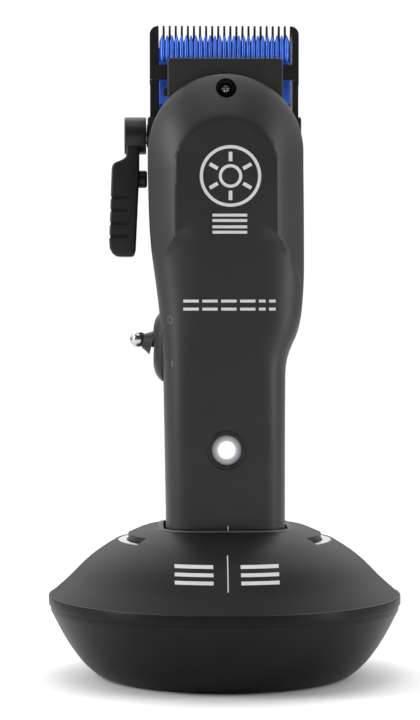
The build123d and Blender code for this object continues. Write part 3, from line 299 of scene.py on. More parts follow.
def smooth_through(knots, at, flat_ends=True):
    """A smooth curve through (position, value) knots, without overshoot."""
    if at <= knots[0][0]:
        return knots[0][1]
    for (x0, y0), (x1, y1) in zip(knots, knots[1:]):
        if at <= x1:
            share = (at - x0) / (x1 - x0)
            slopes = []
            for spot in (x0, x1):
                index = [k[0] for k in knots].index(spot)
                if index in (0, len(knots) - 1):
                    slopes.append(0.0 if flat_ends else (y1 - y0) / (x1 - x0))
                    continue
                before = (knots[index][1] - knots[index - 1][1]) / (knots[index][0] - knots[index - 1][0])
                after = (knots[index + 1][1] - knots[index][1]) / (knots[index + 1][0] - knots[index][0])
                slopes.append(0.0 if before * after <= 0 else 2 * before * after / (before + after))
            h00 = (1 + 2 * share) * (1 - share) ** 2
            h10 = share * (1 - share) ** 2
            h01 = share * share * (3 - 2 * share)
            h11 = share * share * (share - 1)
            return h00 * y0 + h10 * (x1 - x0) * slopes[0] + h01 * y1 + h11 * (x1 - x0) * slopes[1]
    return knots[-1][1]


def ease(value):
    """0 below 0, 1 above 1, and a smooth step between."""
    value = min(1.0, max(0.0, value))
    return value * value * (3 - 2 * value)


def rod(centre, axis, radius, length, turns=48):
    """A closed round bar, in millimetres, as a mesh that starts at a point and runs along an axis."""
    axis = Vector(axis).normalized()
    across = axis.orthogonal().normalized()
    other = axis.cross(across)
    points = []
    for end in (0.0, length):
        for step in range(turns):
            angle = 2 * math.pi * step / turns
            points.append(Vector(centre) + axis * end
                          + (across * math.cos(angle) + other * math.sin(angle)) * radius)
    faces = [tuple(range(turns)), tuple(range(turns, 2 * turns))]
    for step in range(turns):
        after = (step + 1) % turns
        faces.append((step, after, turns + after, turns + step))
    return mesh_from("rod", points, faces)


def block(low, high):
    """A closed box between two corners, in millimetres."""
    points = [(x, y, z) for x in (low[0], high[0]) for y in (low[1], high[1]) for z in (low[2], high[2])]
    faces = [(0, 1, 3, 2), (4, 6, 7, 5), (0, 4, 5, 1), (2, 3, 7, 6), (0, 2, 6, 4), (1, 5, 7, 3)]
    return mesh_from("block", points, faces)


# ---------------------------------------------------------------- clipper housings
WALL = 2.2
PARTING_Y = 1.0
LOW_Z = 29.1
HEAD_TOP_Z = 171.6
DOME_Z = 160.2
DOME_R = 23.65
PANEL_Z = 154.4
PANEL_R = 15.2
FRONT_Y = -19.0
BEVEL_END_Y = -9.0
BEVEL_DEPTH = BEVEL_END_Y - FRONT_Y
GRIP_SIDE = 8.5
GRIP_EDGE_Z = 136.2
NOSE_FRONT_Y = -6.5
ROW_STEP, FINE_ROW_STEP = 2.2, 0.75
ARC_STEPS = 72
BUTTON_Z = 70.2
FRONT_SCREW_Z = 179.1
TOGGLE_Z = 101.1
LEVER_Y, LEVER_Z = 5.0, 166.0
SCREW_SPOTS = [(-12.6, 40.0), (12.6, 40.0), (-17.5, 146.0), (17.5, 146.0)]

LEFT = [(29, 17.75), (48, 18.1), (75, 18.55), (93, 18.9), (105, 19.55), (111, 20.0), (118, 20.8),
        (125, 21.75), (131, 22.55), (140, 23.2), (150, 23.5), (160, 23.65)]
RIGHT = [(29, 17.75), (48, 18.1), (75, 18.1), (93, 18.2), (97.5, 18.75), (101, 19.95), (105.4, 21.85),
         (111, 23.05), (118, 23.65), (125, 23.85), (140, 23.8), (160, 23.65)]
BACK = [(29, 17.4), (48, 18.0), (75, 18.4), (93, 18.8), (125, 19.4), (140, 19.4), (160, 19.1), (172, 18.6)]
FRONT = [(29, 17.7), (48, 18.6), (75, 19.0), (160, 19.0)]


def side_reach(side, z):
    """Half width of the body on one side at a height."""
    return smooth_through(LEFT if side < 0 else RIGHT, z)


def front_depth(x, z, side, inset):
    """How far forward the front surface stands at a place, and its own inset for the inner skin."""
    spread = abs(x)
    if z >= PANEL_Z:
        rise = z - PANEL_Z
        away = math.hypot(x, rise)
        lift = DOME_Z - PANEL_Z
        lean = rise / away if away > 1e-6 else 1.0
        reach = lift * lean + math.sqrt((DOME_R - inset) ** 2 - (lift ** 2) * (1 - lean ** 2))
        if reach * lean < lift:
            reach = (DOME_R - inset) / math.sqrt(max(1e-9, 1 - lean ** 2))
        share = (away - PANEL_R) / (reach - PANEL_R)
    else:
        share = (spread - PANEL_R) / (side_reach(side, z) - inset - PANEL_R)
    share = min(1.0, max(0.0, share))
    bevel = BEVEL_DEPTH * (1 - share ** 1.12) ** 0.78
    head_y = BEVEL_END_Y - bevel

    reach = side_reach(side, z) - inset
    low = ease((128 - z) / 50)
    flat = 0.26 + 0.22 * low
    power = 1.95 + 0.5 * low
    bend = min(1.0, max(0.0, (spread / reach - flat) / (1 - flat)))
    full = smooth_through(FRONT, z)
    grip_y = -GRIP_SIDE - (full - GRIP_SIDE) * (1 - bend ** power) ** (1 / power)

    edge_z = GRIP_EDGE_Z - 0.12 * max(0.0, spread - 10.0) ** 1.9
    softness = 16.0 - 13.2 * ease((spread - 7.0) / 6.5)
    grip = ease((edge_z - z) / softness + 0.5)
    return head_y * (1 - grip) + grip_y * grip + inset


def spokes(inset, low_z):
    """Spokes of the front face: up the left side, round the dome, down the right side."""
    rows = []
    z = low_z
    while z < PANEL_Z - 0.4:
        rows.append(z)
        z += FINE_ROW_STEP if 120 < z < 140 else ROW_STEP
    paths = []
    for z in rows:
        paths.append((-1, [(-side_reach(-1, z) + inset, z), (0.0, z)]))
    arc = []
    for step in range(ARC_STEPS + 1):
        angle = math.pi - math.pi * step / ARC_STEPS
        x_way, z_way = math.cos(angle), math.sin(angle)
        lift = DOME_Z - PANEL_Z
        reach = lift * z_way + math.sqrt((DOME_R - inset) ** 2 - (lift * x_way) ** 2)
        if reach * z_way < lift:
            reach = (DOME_R - inset) / abs(x_way)
        arc.append((-1 if x_way < 0 else 1, [(reach * x_way, PANEL_Z + reach * z_way), (0.0, PANEL_Z)]))
    right = [(1, [(side_reach(1, z) - inset, z), (0.0, z)]) for z in reversed(rows)]
    return paths + arc + right


def front_volume(inset, low_z, back_y):
    """The closed volume in front of a plane: outer skin at inset 0, inner skin at the wall's inset."""
    steps = 34
    paths = spokes(inset, low_z)
    points, faces = [], []
    for side, (outer, inner) in paths:
        points.append((outer[0], back_y, outer[1]))
        for wall in (0.0, 0.35, 0.7):
            y = (BEVEL_END_Y + 1.5) * wall + PARTING_Y * (1 - wall)
            points.append((outer[0], min(y, back_y), outer[1]))
        for step in range(steps + 1):
            share = 1 - math.cos(step / steps * math.pi / 2) if step < steps else 1.0
            x = outer[0] * (1 - share) + inner[0] * share
            z = outer[1] * (1 - share) + inner[1] * share
            points.append((x, front_depth(x, z, side, inset), z))
    row = steps + 5
    for index in range(len(paths) - 1):
        for step in range(row - 1):
            a = index * row + step
            faces.append((a, a + 1, a + row + 1, a + row))
    last = (len(paths) - 1) * row
    # the bottom joins the lowest spokes of the two sides, and the back closes the plane
    left_edge = list(range(0, row))
    right_edge = list(range(last, last + row))
    faces.append(tuple(left_edge + right_edge[::-1][1:]))
    faces.append(tuple(index * row for index in range(len(paths))))
    return mesh_from("front_volume", points, faces)


def rear_depth(x, z, side, inset):
    """How far back the rear surface stands at a place."""
    reach = side_reach(side, z) - inset
    bend = min(1.0, max(0.0, (abs(x) / reach - 0.38) / 0.62))
    full = smooth_through(BACK, z) - inset
    return GRIP_SIDE + (full - GRIP_SIDE) * (1 - bend ** 2.3) ** (1 / 2.3)


def rear_volume(inset, low_z, high_z, front_y, crown=0.0):
    """The closed volume behind a plane, with a flat top whose rim is rounded by the crown radius."""
    steps = 28
    levels = []
    z = low_z
    while z < high_z - crown - 0.3:
        levels.append((z, 0.0))
        z += ROW_STEP
    for step in range(7 if crown else 1):
        turn = math.pi / 2 * step / 6
        levels.append((high_z - crown + crown * math.sin(turn), crown * (1 - math.cos(turn))))
    points, faces = [], []
    for z, tuck in levels:
        ring = []
        for side in (-1, 1):
            reach = side_reach(side, z) - inset - tuck
            half = [(side * reach, front_y), (side * reach, (front_y + GRIP_SIDE) / 2)]
            for step in range(steps + 1):
                share = 1 - math.cos(step / steps * math.pi / 2) if step < steps else 1.0
                x = side * reach * (1 - share)
                half.append((x, rear_depth(x, z, side, inset + tuck)))
            ring += half if side < 0 else half[::-1][1:]
        points += [(x, y, z) for x, y in ring]
        row = len(ring)
    for index in range(len(levels) - 1):
        for step in range(row):
            after = (step + 1) % row
            a, b = index * row + step, index * row + after
            faces.append((a, b, b + row, a + row))
    faces.append(tuple(range(row)))
    top = (len(levels) - 1) * row
    faces.append(tuple(range(top, top + row)))
    return mesh_from("rear_volume", points, faces)


front_housing = new_object("front_housing_shell", front_volume(0.0, LOW_Z, PARTING_Y - 0.03), BODY, "clipper",
                           ["front_housing"])
cut(front_housing, [
    front_volume(WALL, LOW_Z - 1, PARTING_Y + 2),
    block((-40, NOSE_FRONT_Y - 0.1, HEAD_TOP_Z), (40, 30, 220)),
    rod((0, -16, FRONT_SCREW_Z), (0, 1, 0), 3.15, 20),
    rod((0, -25, BUTTON_Z), (0, 1, 0), 5.95, 15),
    rod((-30, 0, TOGGLE_Z), (1, 0, 0), 4.1, 14),
])
round_shading(front_housing, 28)

rear_housing = new_object("rear_housing_shell",
                          rear_volume(0.0, LOW_Z, HEAD_TOP_Z, PARTING_Y + 0.03, 0.8), BODY, "clipper",
                          ["rear_housing"])
cut(rear_housing, [
    rear_volume(WALL, LOW_Z - 1, HEAD_TOP_Z - WALL, PARTING_Y - 2),
    block((-21.4, -3, 150), (21.4, 9.5, 180)),
    block((-23.05, 2.7, HEAD_TOP_Z - 2.3), (23.05, 7.7, 180)),
    rod((-30, LEVER_Y, LEVER_Z), (1, 0, 0), 3.6, 14),
    rod((-30, 0, TOGGLE_Z), (1, 0, 0), 4.1, 14),
] + [rod((x, 12, z), (0, 1, 0), 2.5, 14) for x, z in SCREW_SPOTS])
round_shading(rear_housing, 28)

# ---------------------------------------------------------------- dock shells
RIM_LOW_Z, RIM_HIGH_Z, RIM_R = 21.7, 25.1, 54.2
COLLAR_R, COLLAR_Z = 24.9, 45.7
NOTCH_R, NOTCH_Z, NOTCH_HALF_ANGLE = 29.7, 41.7, 36
WINDOW_HALF_ANGLE, WINDOW_IN, WINDOW_OUT = 33, 30.2, 32.8
CREST = [(RIM_HIGH_Z, 53.6), (29.5, 48.6), (36.6, 41.2), (42.0, 33.0), (COLLAR_Z, COLLAR_R)]
CREST_RISE = 20.1
FLANK_LOW_Z, FLANK_RISE = 0.6, 20.0
PROFILE_STEPS = 40
FLANK = [(0.6, 38.6), (1.6, 40.4), (4.7, 43.8), (9.5, 47.5), (14.3, 50.4), (20.6, 53.6)]


def lathe(name, profile, turns=192):
    """A closed mesh from a closed profile of (radius, height), turned about the upright axis."""
    count = len(profile)
    points, faces = [], []
    for step in range(turns):
        angle = 2 * math.pi * step / turns
        points += [(r * math.cos(angle), r * math.sin(angle), z) for r, z in profile]
    for step in range(turns):
        after = (step + 1) % turns
        for spot in range(count):
            following = (spot + 1) % count
            faces.append((step * count + spot, step * count + following,
                          after * count + following, after * count + spot))
    return mesh_from(name, points, faces)


def sector(inner, outer, low_z, high_z, middle, half_angle, steps=28):
    """A closed wedge of a ring about the upright axis."""
    points, faces = [], []
    for step in range(steps + 1):
        angle = math.radians(middle - half_angle + 2 * half_angle * step / steps)
        points += [(r * math.cos(angle), r * math.sin(angle), z)
                   for r, z in ((inner, low_z), (outer, low_z), (outer, high_z), (inner, high_z))]
    for step in range(steps):
        for spot in range(4):
            a, b = step * 4 + spot, step * 4 + (spot + 1) % 4
            faces.append((a, b, b + 4, a + 4))
    faces.append((0, 1, 2, 3))
    faces.append(tuple(steps * 4 + spot for spot in range(4)))
    return mesh_from("sector", points, faces)


def pocket_block(half_x, half_y, radius, low_z, high_z, corner_steps=10):
    """A closed upright block with rounded corners, for the pocket that takes the handle."""
    ring = []
    for quarter, (sx, sy) in enumerate(((1, 1), (-1, 1), (-1, -1), (1, -1))):
        for step in range(corner_steps + 1):
            angle = math.pi / 2 * (quarter + step / corner_steps)
            ring.append((sx * (half_x - radius) + radius * math.cos(angle),
                         sy * (half_y - radius) + radius * math.sin(angle)))
    count = len(ring)
    points = [(x, y, z) for z in (low_z, high_z) for x, y in ring]
    faces = [tuple(range(count)), tuple(range(count, 2 * count))]
    for step in range(count):
        after = (step + 1) % count
        faces.append((step, after, count + after, count + step))
    return mesh_from("pocket", points, faces)


def crest_radius(z):
    """Radius of the upper cone at a height."""
    return smooth_through(CREST, z, False)


def profile_line(knots, low_z, rise):
    """Points of (radius, height) along a shell's smooth side."""
    heights = [low_z + rise * step / PROFILE_STEPS for step in range(PROFILE_STEPS + 1)]
    return [(smooth_through(knots, z, False), z) for z in heights]


crest_line = profile_line(CREST, RIM_HIGH_Z, CREST_RISE)
brow = [(COLLAR_R - 0.10, COLLAR_Z - 0.12), (COLLAR_R - 0.4, COLLAR_Z)]
upper_shell = new_object("dock_cone", lathe("dock_cone", crest_line + brow + [
    (10.0, COLLAR_Z), (10.0, COLLAR_Z - WALL), (23.9, COLLAR_Z - WALL), (32.0, 39.8), (39.8, 34.4),
    (46.5, 27.9), (51.0, RIM_HIGH_Z)]), DOCK, "dock", ["dock_upper_shell"])
cut(upper_shell, [pocket_block(20.52, 21.02, 11.0, 40, 50)]
    + [sector(NOTCH_R, 44, NOTCH_Z, 50, side, NOTCH_HALF_ANGLE) for side in (0, 180)]
    + [sector(WINDOW_IN, WINDOW_OUT, 36, NOTCH_Z + 1, side, WINDOW_HALF_ANGLE) for side in (0, 180)])
round_shading(upper_shell, 30)

rim_turn = [(RIM_R - 0.55, RIM_LOW_Z), (RIM_R - 0.55, RIM_LOW_Z + 0.34), (RIM_R - 0.14, RIM_LOW_Z + 0.46),
            (RIM_R, RIM_LOW_Z + 0.7), (RIM_R, RIM_HIGH_Z - 0.45), (RIM_R - 0.14, RIM_HIGH_Z - 0.12),
            (RIM_R - 0.45, RIM_HIGH_Z)]
rim_band = new_object("dock_rim", lathe("dock_rim", rim_turn + [(50.8, RIM_HIGH_Z), (50.8, RIM_LOW_Z)]), DOCK,
                      "dock", ["dock_rim_band"])
round_shading(rim_band, 30)

flank_line = profile_line(FLANK, FLANK_LOW_Z, FLANK_RISE)
lower_shell = new_object("dock_bowl", lathe("dock_bowl", flank_line + [
    (53.6, RIM_LOW_Z), (51.0, RIM_LOW_Z), (48.2, 14.3), (45.0, 9.5), (41.0, 4.9), (14.0, 4.9), (14.0, 2.6),
    (36.15, 2.6), (36.15, 0.6)]), DOCK, "dock", ["dock_lower_shell"])
cut(lower_shell, [rod((0, 38, 12.2), (0, 1, 0), 4.6, 22)])
round_shading(lower_shell, 30)

# ---------------------------------------------------------------- button, screw and toggle
def turned(name, profile, centre, axis, turns=72):
    """A closed mesh from a profile of (radius, distance along the axis) that starts and ends on the axis."""
    axis = Vector(axis).normalized()
    across = axis.orthogonal().normalized()
    other = axis.cross(across)
    centre = Vector(centre)
    points, faces, rows = [], [], []
    for radius, along in profile:
        if radius < 1e-6:
            rows.append([len(points)] * turns)
            points.append(centre + axis * along)
            continue
        rows.append(list(range(len(points), len(points) + turns)))
        for step in range(turns):
            angle = 2 * math.pi * step / turns
            points.append(centre + axis * along
                          + (across * math.cos(angle) + other * math.sin(angle)) * radius)
    for near, far in zip(rows, rows[1:]):
        for step in range(turns):
            after = (step + 1) % turns
            corners = []
            for corner in (near[step], near[after], far[after], far[step]):
                if corner not in corners:
                    corners.append(corner)
            if len(corners) > 2:
                faces.append(tuple(corners))
    return mesh_from(name, points, faces)


def ring_profile(inner, outer, low, high, edge):
    """The closed section of a flat ring with rounded upper edges, for the turned ring below."""
    section = [(inner, low), (outer, low)]
    for step in range(5):
        turn = math.pi / 2 * step / 4
        section.append((outer - edge + edge * math.cos(turn), high - edge + edge * math.sin(turn)))
    for step in range(5):
        turn = math.pi / 2 * step / 4
        section.append((inner + edge - edge * math.sin(turn), high - edge + edge * math.cos(turn)))
    return section


def turned_ring(name, section, centre, axis, turns=72):
    """A closed ring from a closed section of (radius, distance along the axis)."""
    axis = Vector(axis).normalized()
    across = axis.orthogonal().normalized()
    other = axis.cross(across)
    count = len(section)
    points, faces = [], []
    for step in range(turns):
        angle = 2 * math.pi * step / turns
        out = across * math.cos(angle) + other * math.sin(angle)
        points += [Vector(centre) + axis * along + out * radius for radius, along in section]
    for step in range(turns):
        after = (step + 1) % turns
        for spot in range(count):
            following = (spot + 1) % count
            faces.append((step * count + spot, step * count + following,
                          after * count + following, after * count + spot))
    return mesh_from(name, points, faces)


FORWARD = (0, -1, 0)
button_at = (0, 0, BUTTON_Z)


def fade_glow(material, centre, inner, outer, bright, dim):
    """The glow of a round light fades from its lens outwards."""
    tree = material.node_tree
    place = tree.nodes.new("ShaderNodeTexCoord")
    apart = tree.nodes.new("ShaderNodeVectorMath")
    apart.operation = "DISTANCE"
    apart.inputs[1].default_value = Vector(centre) * MM
    link(tree, place, "Object", apart, 0)
    fade = tree.nodes.new("ShaderNodeMapRange")
    fade.interpolation_type = "SMOOTHSTEP"
    fade.inputs["From Min"].default_value = inner * MM
    fade.inputs["From Max"].default_value = outer * MM
    fade.inputs["To Min"].default_value = bright
    fade.inputs["To Max"].default_value = dim
    link(tree, apart, "Value", fade, "Value")
    link(tree, fade, "Result", tree.nodes["Principled BSDF"], "Emission Strength")


fade_glow(GLOW_RING, (0, -18.5, BUTTON_Z), 2.5, 4.5, 0.30, 0.01)
fade_glow(LENS_LIT, (0, -18.7, BUTTON_Z), 0.9, 2.9, 0.60, 0.25)
bezel_section = ring_profile(4.7, 5.9, 15.6, 19.2, 0.35)
bezel = new_object("button_ring", turned_ring("button_ring", bezel_section, button_at, FORWARD), TRIM,
                   "clipper", ["button_bezel"])
round_shading(bezel, 40)
cap_section = ring_profile(2.8, 4.6, 15.2, 18.55, 0.3)
cap = new_object("button_face", turned_ring("button_face", cap_section, button_at, FORWARD), GLOW_RING,
                 "button", ["button_cap"])
round_shading(cap, 40)
lens_line = [(0.0, 15.2), (2.75, 15.2), (2.75, 18.1), (2.65, 18.3), (2.4, 18.4), (2.05, 18.42), (1.95, 18.28),
             (1.8, 18.28), (1.7, 18.5), (1.3, 18.62), (0.7, 18.68), (0.0, 18.7)]
lens = new_object("button_light", turned("button_light", lens_line, button_at, FORWARD), LENS_LIT, "button",
                  ["button_lens"])
round_shading(lens, 50)

SCREW_HEAD_R, SCREW_BASE_Y, SCREW_RISE, SCREW_LIP = 1.85, 7.72, 1.25, 0.35
SHANK_R, SHANK_DEPTH = 1.2, 0.9
CROSS_LONG, CROSS_THIN, CROSS_DEPTH = 1.15, 0.24, 0.75
head_line = [(0.0, SCREW_BASE_Y - SHANK_DEPTH), (SHANK_R, SCREW_BASE_Y - SHANK_DEPTH),
             (SHANK_R, SCREW_BASE_Y), (SCREW_HEAD_R, SCREW_BASE_Y)]
for step in range(8):
    turn = math.pi / 2 * step / 8
    head_line.append((SCREW_HEAD_R * math.cos(turn),
                      SCREW_BASE_Y + SCREW_LIP + (SCREW_RISE - SCREW_LIP) * math.sin(turn)))
head_line.append((0.0, SCREW_BASE_Y + SCREW_RISE))
nose_screw = new_object("nose_screw", turned("nose_screw", head_line, (0, 0, FRONT_SCREW_Z), FORWARD), CHROME,
                        "clipper", ["front_screw"])
cross_top = -(SCREW_BASE_Y + SCREW_RISE)
cut(nose_screw, [block((-wide, cross_top - 0.3, FRONT_SCREW_Z - high),
                       (wide, cross_top + CROSS_DEPTH, FRONT_SCREW_Z + high))
                 for wide, high in ((CROSS_LONG, CROSS_THIN), (CROSS_THIN, CROSS_LONG))])
round_shading(nose_screw, 35)

PLATE_X, PLATE_HALF_Y, PLATE_HALF_Z, PLATE_DROP = -22.0, 8.5, 10.8, 2.7
PLATE_BACK_X = -17.5
PLATE_SQUARENESS = 0.62
PLATE_SHARES = (0.3, 0.5, 0.62, 0.72, 0.8, 0.87, 0.93, 0.97, 1.0)


def pillow():
    """The closed switch plate: a rounded oblong whose face falls away towards its rim."""
    turns = 64
    points, faces = [(PLATE_X, 0.0, TOGGLE_Z)], []
    levels = [(share, PLATE_X + PLATE_DROP * share ** 5) for share in PLATE_SHARES]
    levels.append((1.0, PLATE_BACK_X))
    for share, x in levels:
        for step in range(turns):
            angle = 2 * math.pi * step / turns
            c, n = math.cos(angle), math.sin(angle)
            points.append((x, PLATE_HALF_Y * share * math.copysign(abs(c) ** PLATE_SQUARENESS, c),
                           TOGGLE_Z + PLATE_HALF_Z * share * math.copysign(abs(n) ** PLATE_SQUARENESS, n)))
    for step in range(turns):
        faces.append((0, 1 + step, 1 + (step + 1) % turns))
    for index in range(len(levels) - 1):
        for step in range(turns):
            a, b = 1 + index * turns + step, 1 + index * turns + (step + 1) % turns
            faces.append((a, b, b + turns, a + turns))
    faces.append(tuple(1 + (len(levels) - 1) * turns + step for step in range(turns)))
    return mesh_from("pillow", points, faces)


plate = new_object("switch_pad", pillow(), TRIM, "clipper", ["switch_plate"])
cut(plate, [rod((PLATE_X - 1, 0, TOGGLE_Z), (1, 0, 0), radius, depth)
            for radius, depth in ((5.2, 2.35), (4.05, 9))])
round_shading(plate, 40)

TOGGLE_X, TOGGLE_TILT = -17.8, math.radians(13.5)
toggle_way = (-math.cos(TOGGLE_TILT), 0, math.sin(TOGGLE_TILT))
BALL_R, BALL_AT = 2.54, 9.02
NECK_R, BALL_STEPS = 1.95, 28
start = math.asin(NECK_R / BALL_R)
ball_low = BALL_AT - BALL_R * math.cos(start)
ball_line = [(0.0, ball_low), (NECK_R, ball_low)]
for step in range(1, BALL_STEPS):
    turn = start + (math.pi - start) * step / BALL_STEPS
    ball_line.append((BALL_R * math.sin(turn), BALL_AT - BALL_R * math.cos(turn)))
ball_line.append((0.0, BALL_AT + BALL_R))
ball = new_object("toggle_knob", turned("toggle_knob", ball_line, (TOGGLE_X, 0, TOGGLE_Z), toggle_way),
                  CHROME, "toggle", ["toggle_ball"])
round_shading(ball, 50)

# ---------------------------------------------------------------- printed marks
INK = 0.05                  # how far the print stands out


def printed(name, rows, depth_at, look, body, closed=False):
    """A thin closed strip that follows a surface.

    Rows are lists of (x, z), and depth_at gives the surface's y.
    """
    width = len(rows[0])
    points = []
    for lift in (-INK, INK):
        for row in rows:
            points += [(x, depth_at(x, z) + lift, z) for x, z in row]
    layer = len(rows) * width
    faces = []
    last = len(rows) if closed else len(rows) - 1
    for index in range(last):
        after = (index + 1) % len(rows)
        for spot in range(width - 1):
            a, b = index * width + spot, after * width + spot
            faces.append((a, a + 1, b + 1, b))
            faces.append((layer + a, layer + b, layer + b + 1, layer + a + 1))
        for spot in (0, width - 1):
            a, b = index * width + spot, after * width + spot
            faces.append((a, b, layer + b, layer + a))
    if not closed:
        for index in (0, len(rows) - 1):
            for spot in range(width - 1):
                a = index * width + spot
                faces.append((a, a + 1, layer + a + 1, layer + a))
    return new_object(name, mesh_from(name, points, faces), look, body)


def bar(x0, z0, x1, z1, wide, steps=10):
    """Rows of a straight stroke between two places."""
    along = Vector((x1 - x0, z1 - z0)).normalized()
    off = Vector((-along.y, along.x)) * wide / 2
    rows = []
    for step in range(steps + 1):
        x, z = x0 + (x1 - x0) * step / steps, z0 + (z1 - z0) * step / steps
        rows.append([(x - off.x, z - off.y), (x, z), (x + off.x, z + off.y)])
    return rows


def hoop(x, z, outer, inner, steps=64):
    """Rows of a ring."""
    rows = []
    for step in range(steps):
        angle = 2 * math.pi * step / steps
        radii = (inner, (inner + outer) / 2, outer)
        rows.append([(x + r * math.cos(angle), z + r * math.sin(angle)) for r in radii])
    return rows


def front_y(x, z):
    """The front surface of the housing."""
    return front_depth(x, z, -1 if x < 0 else 1, 0.0)


def cone_y(x, z):
    """The front of the dock's upper cone."""
    return -math.sqrt(max(0.0, crest_radius(z) ** 2 - x * x))


EMBLEM_X, EMBLEM_Z = 1.1, 152.3
EMBLEM_RAYS, RAY_IN, RAY_OUT, RAY_WIDE = 6, 4.4, 7.2, 1.1
LINE_WIDE = 0.85
LINE_LEFT, LINE_RIGHT = -4.3, 6.1
DASH_START, DASH_GAP = -13.0, 1.06
DASH_TOP_Z, DASH_LOW_Z = 114.9, 112.5
marks = [("emblem_ring", hoop(EMBLEM_X, EMBLEM_Z, 9.2, 8.25), True),
         ("emblem_eye", hoop(EMBLEM_X, EMBLEM_Z, 3.5, 2.6), True)]
for turn in range(EMBLEM_RAYS):
    angle = math.radians(60 * turn + 30)
    x_way, z_way = math.cos(angle), math.sin(angle)
    ray = bar(EMBLEM_X + RAY_IN * x_way, EMBLEM_Z + RAY_IN * z_way,
              EMBLEM_X + RAY_OUT * x_way, EMBLEM_Z + RAY_OUT * z_way, RAY_WIDE)
    marks.append((f"emblem_ray_{turn}", ray, False))
for index, z in enumerate((140.6, 139.0, 137.1, 135.5)):
    marks.append((f"line_{index}", bar(LINE_LEFT, z, LINE_RIGHT, z, LINE_WIDE, 16), False))
dash_x = DASH_START
for index, wide in enumerate((4.6, 4.6, 4.6, 4.6, 2.0, 2.0)):
    for row_name, z in (("top", DASH_TOP_Z), ("low", DASH_LOW_Z)):
        marks.append((f"dash_{index}_{row_name}", bar(dash_x, z, dash_x + wide, z, LINE_WIDE, 8), False))
    dash_x += wide + DASH_GAP
for name, rows, closed in marks:
    printed(name, rows, front_y, PRINT, "clipper", closed)

# the 0 and the stroke beside the toggle
SWITCH_RING_X, SWITCH_RING_Z, SWITCH_RING_NARROW = -17.0, 109.3, 0.62
SWITCH_STROKE_X = -16.3
switch_rows = [[(x * SWITCH_RING_NARROW + SWITCH_RING_X, z) for x, z in row]
               for row in hoop(0.0, SWITCH_RING_Z, 1.25, 0.9, 32)]
printed("switch_ring", switch_rows, front_y, PRINT_GREY, "clipper", True)
printed("switch_stroke", bar(SWITCH_STROKE_X, 95.2, SWITCH_STROKE_X, 97.0, 0.5, 4), front_y, PRINT_GREY,
        "clipper")

# the dock's mark: a line between two groups of bars
DOCK_MARK_X, DOCK_BAR_AWAY, DOCK_BAR_HALF = -0.7, 9.6, 5.6
printed("dock_divider", bar(-0.6, 31.0, -0.4, 40.4, 0.32, 16), cone_y, PRINT, "dock")
for side in (-1, 1):
    middle = DOCK_MARK_X + side * DOCK_BAR_AWAY
    for index, z in enumerate((37.5, 35.4, 33.3)):
        rows = bar(middle - DOCK_BAR_HALF, z, middle + DOCK_BAR_HALF, z, 0.95, 14)
        printed(f"dock_bar_{side}_{index}", rows, cone_y, PRINT, "dock")
printed("centre_tick", bar(0.4, 45.9, 0.4, 47.4, 0.32, 4), front_y, PRINT, "clipper")

# ---------------------------------------------------------------- blades, lever and nose
COMB_PITCH, COMB_GAPS = 1.87, 22
CUTTER_PITCH, CUTTER_TEETH = 1.47, 27
CUTTER_HALF, CUTTER_TIP_Z, CUTTER_ROOT_Z = 20.05, 196.6, 194.6
CUTTER_FRONT_Y, CUTTER_BACK_Y = 0.7, 2.9


def prism(name, outline, near_y, far_y):
    """A closed plate with an outline of (x, z), between two depths."""
    count = len(outline)
    points = [(x, y, z) for y in (near_y, far_y) for x, z in outline]
    faces = [tuple(range(count)), tuple(range(count, 2 * count))]
    for step in range(count):
        after = (step + 1) % count
        faces.append((step, after, count + after, count + step))
    return mesh_from(name, points, faces)


def soften(obj, width, degrees=30, segments=3):
    """Rounds an object's sharp edges and applies it."""
    step = obj.modifiers.new("soft", "BEVEL")
    step.width = width * MM
    step.segments = segments
    step.limit_method = "ANGLE"
    step.angle_limit = math.radians(degrees)
    shaped = bpy.data.meshes.new_from_object(obj.evaluated_get(bpy.context.evaluated_depsgraph_get()))
    obj.modifiers.clear()
    obj.data = shaped


# cutter: a plate with pointed teeth, each with a rounded rib that runs down its front
outline = [(-CUTTER_HALF, 172.2), (-18.8, 172.2), (-18.8, 175.2), (-9.0, 175.2), (-9.0, 168.0), (9.0, 168.0),
           (9.0, 175.2), (18.8, 175.2), (18.8, 172.2), (CUTTER_HALF, 172.2), (CUTTER_HALF, CUTTER_ROOT_Z)]
for tooth in range(CUTTER_TEETH - 1, -1, -1):
    middle = (tooth - (CUTTER_TEETH - 1) / 2) * CUTTER_PITCH
    outline += [(middle + 0.16, CUTTER_TIP_Z), (middle - 0.16, CUTTER_TIP_Z)]
    outline.append((middle - CUTTER_PITCH / 2 if tooth else -CUTTER_HALF, CUTTER_ROOT_Z))
cutter = new_object("cutter", prism("cutter", outline, CUTTER_FRONT_Y + 0.55, CUTTER_BACK_Y), BLUE, "cutter",
                    ["cutter_blade"])
cut(cutter, [rod((side * 6, -1, 171.5), (0, 1, 0), 1.1, 6) for side in (-1, 1)])
round_shading(cutter, 25)
rib_points, rib_faces = [], []
RIB_SECTION = [(-0.60, 0.0), (-0.48, 0.30), (-0.22, 0.52), (0.0, 0.55), (0.22, 0.52), (0.48, 0.30),
               (0.60, 0.0), (0.40, -0.12), (-0.40, -0.12)]
RIB_LEVELS = ((188.2, 0.10, 0.10), (189.1, 0.75, 0.9), (189.9, 1.0, 1.0), (194.3, 1.0, 1.0),
              (196.45, 0.22, 0.35))      # height, share of the width, share of the rise
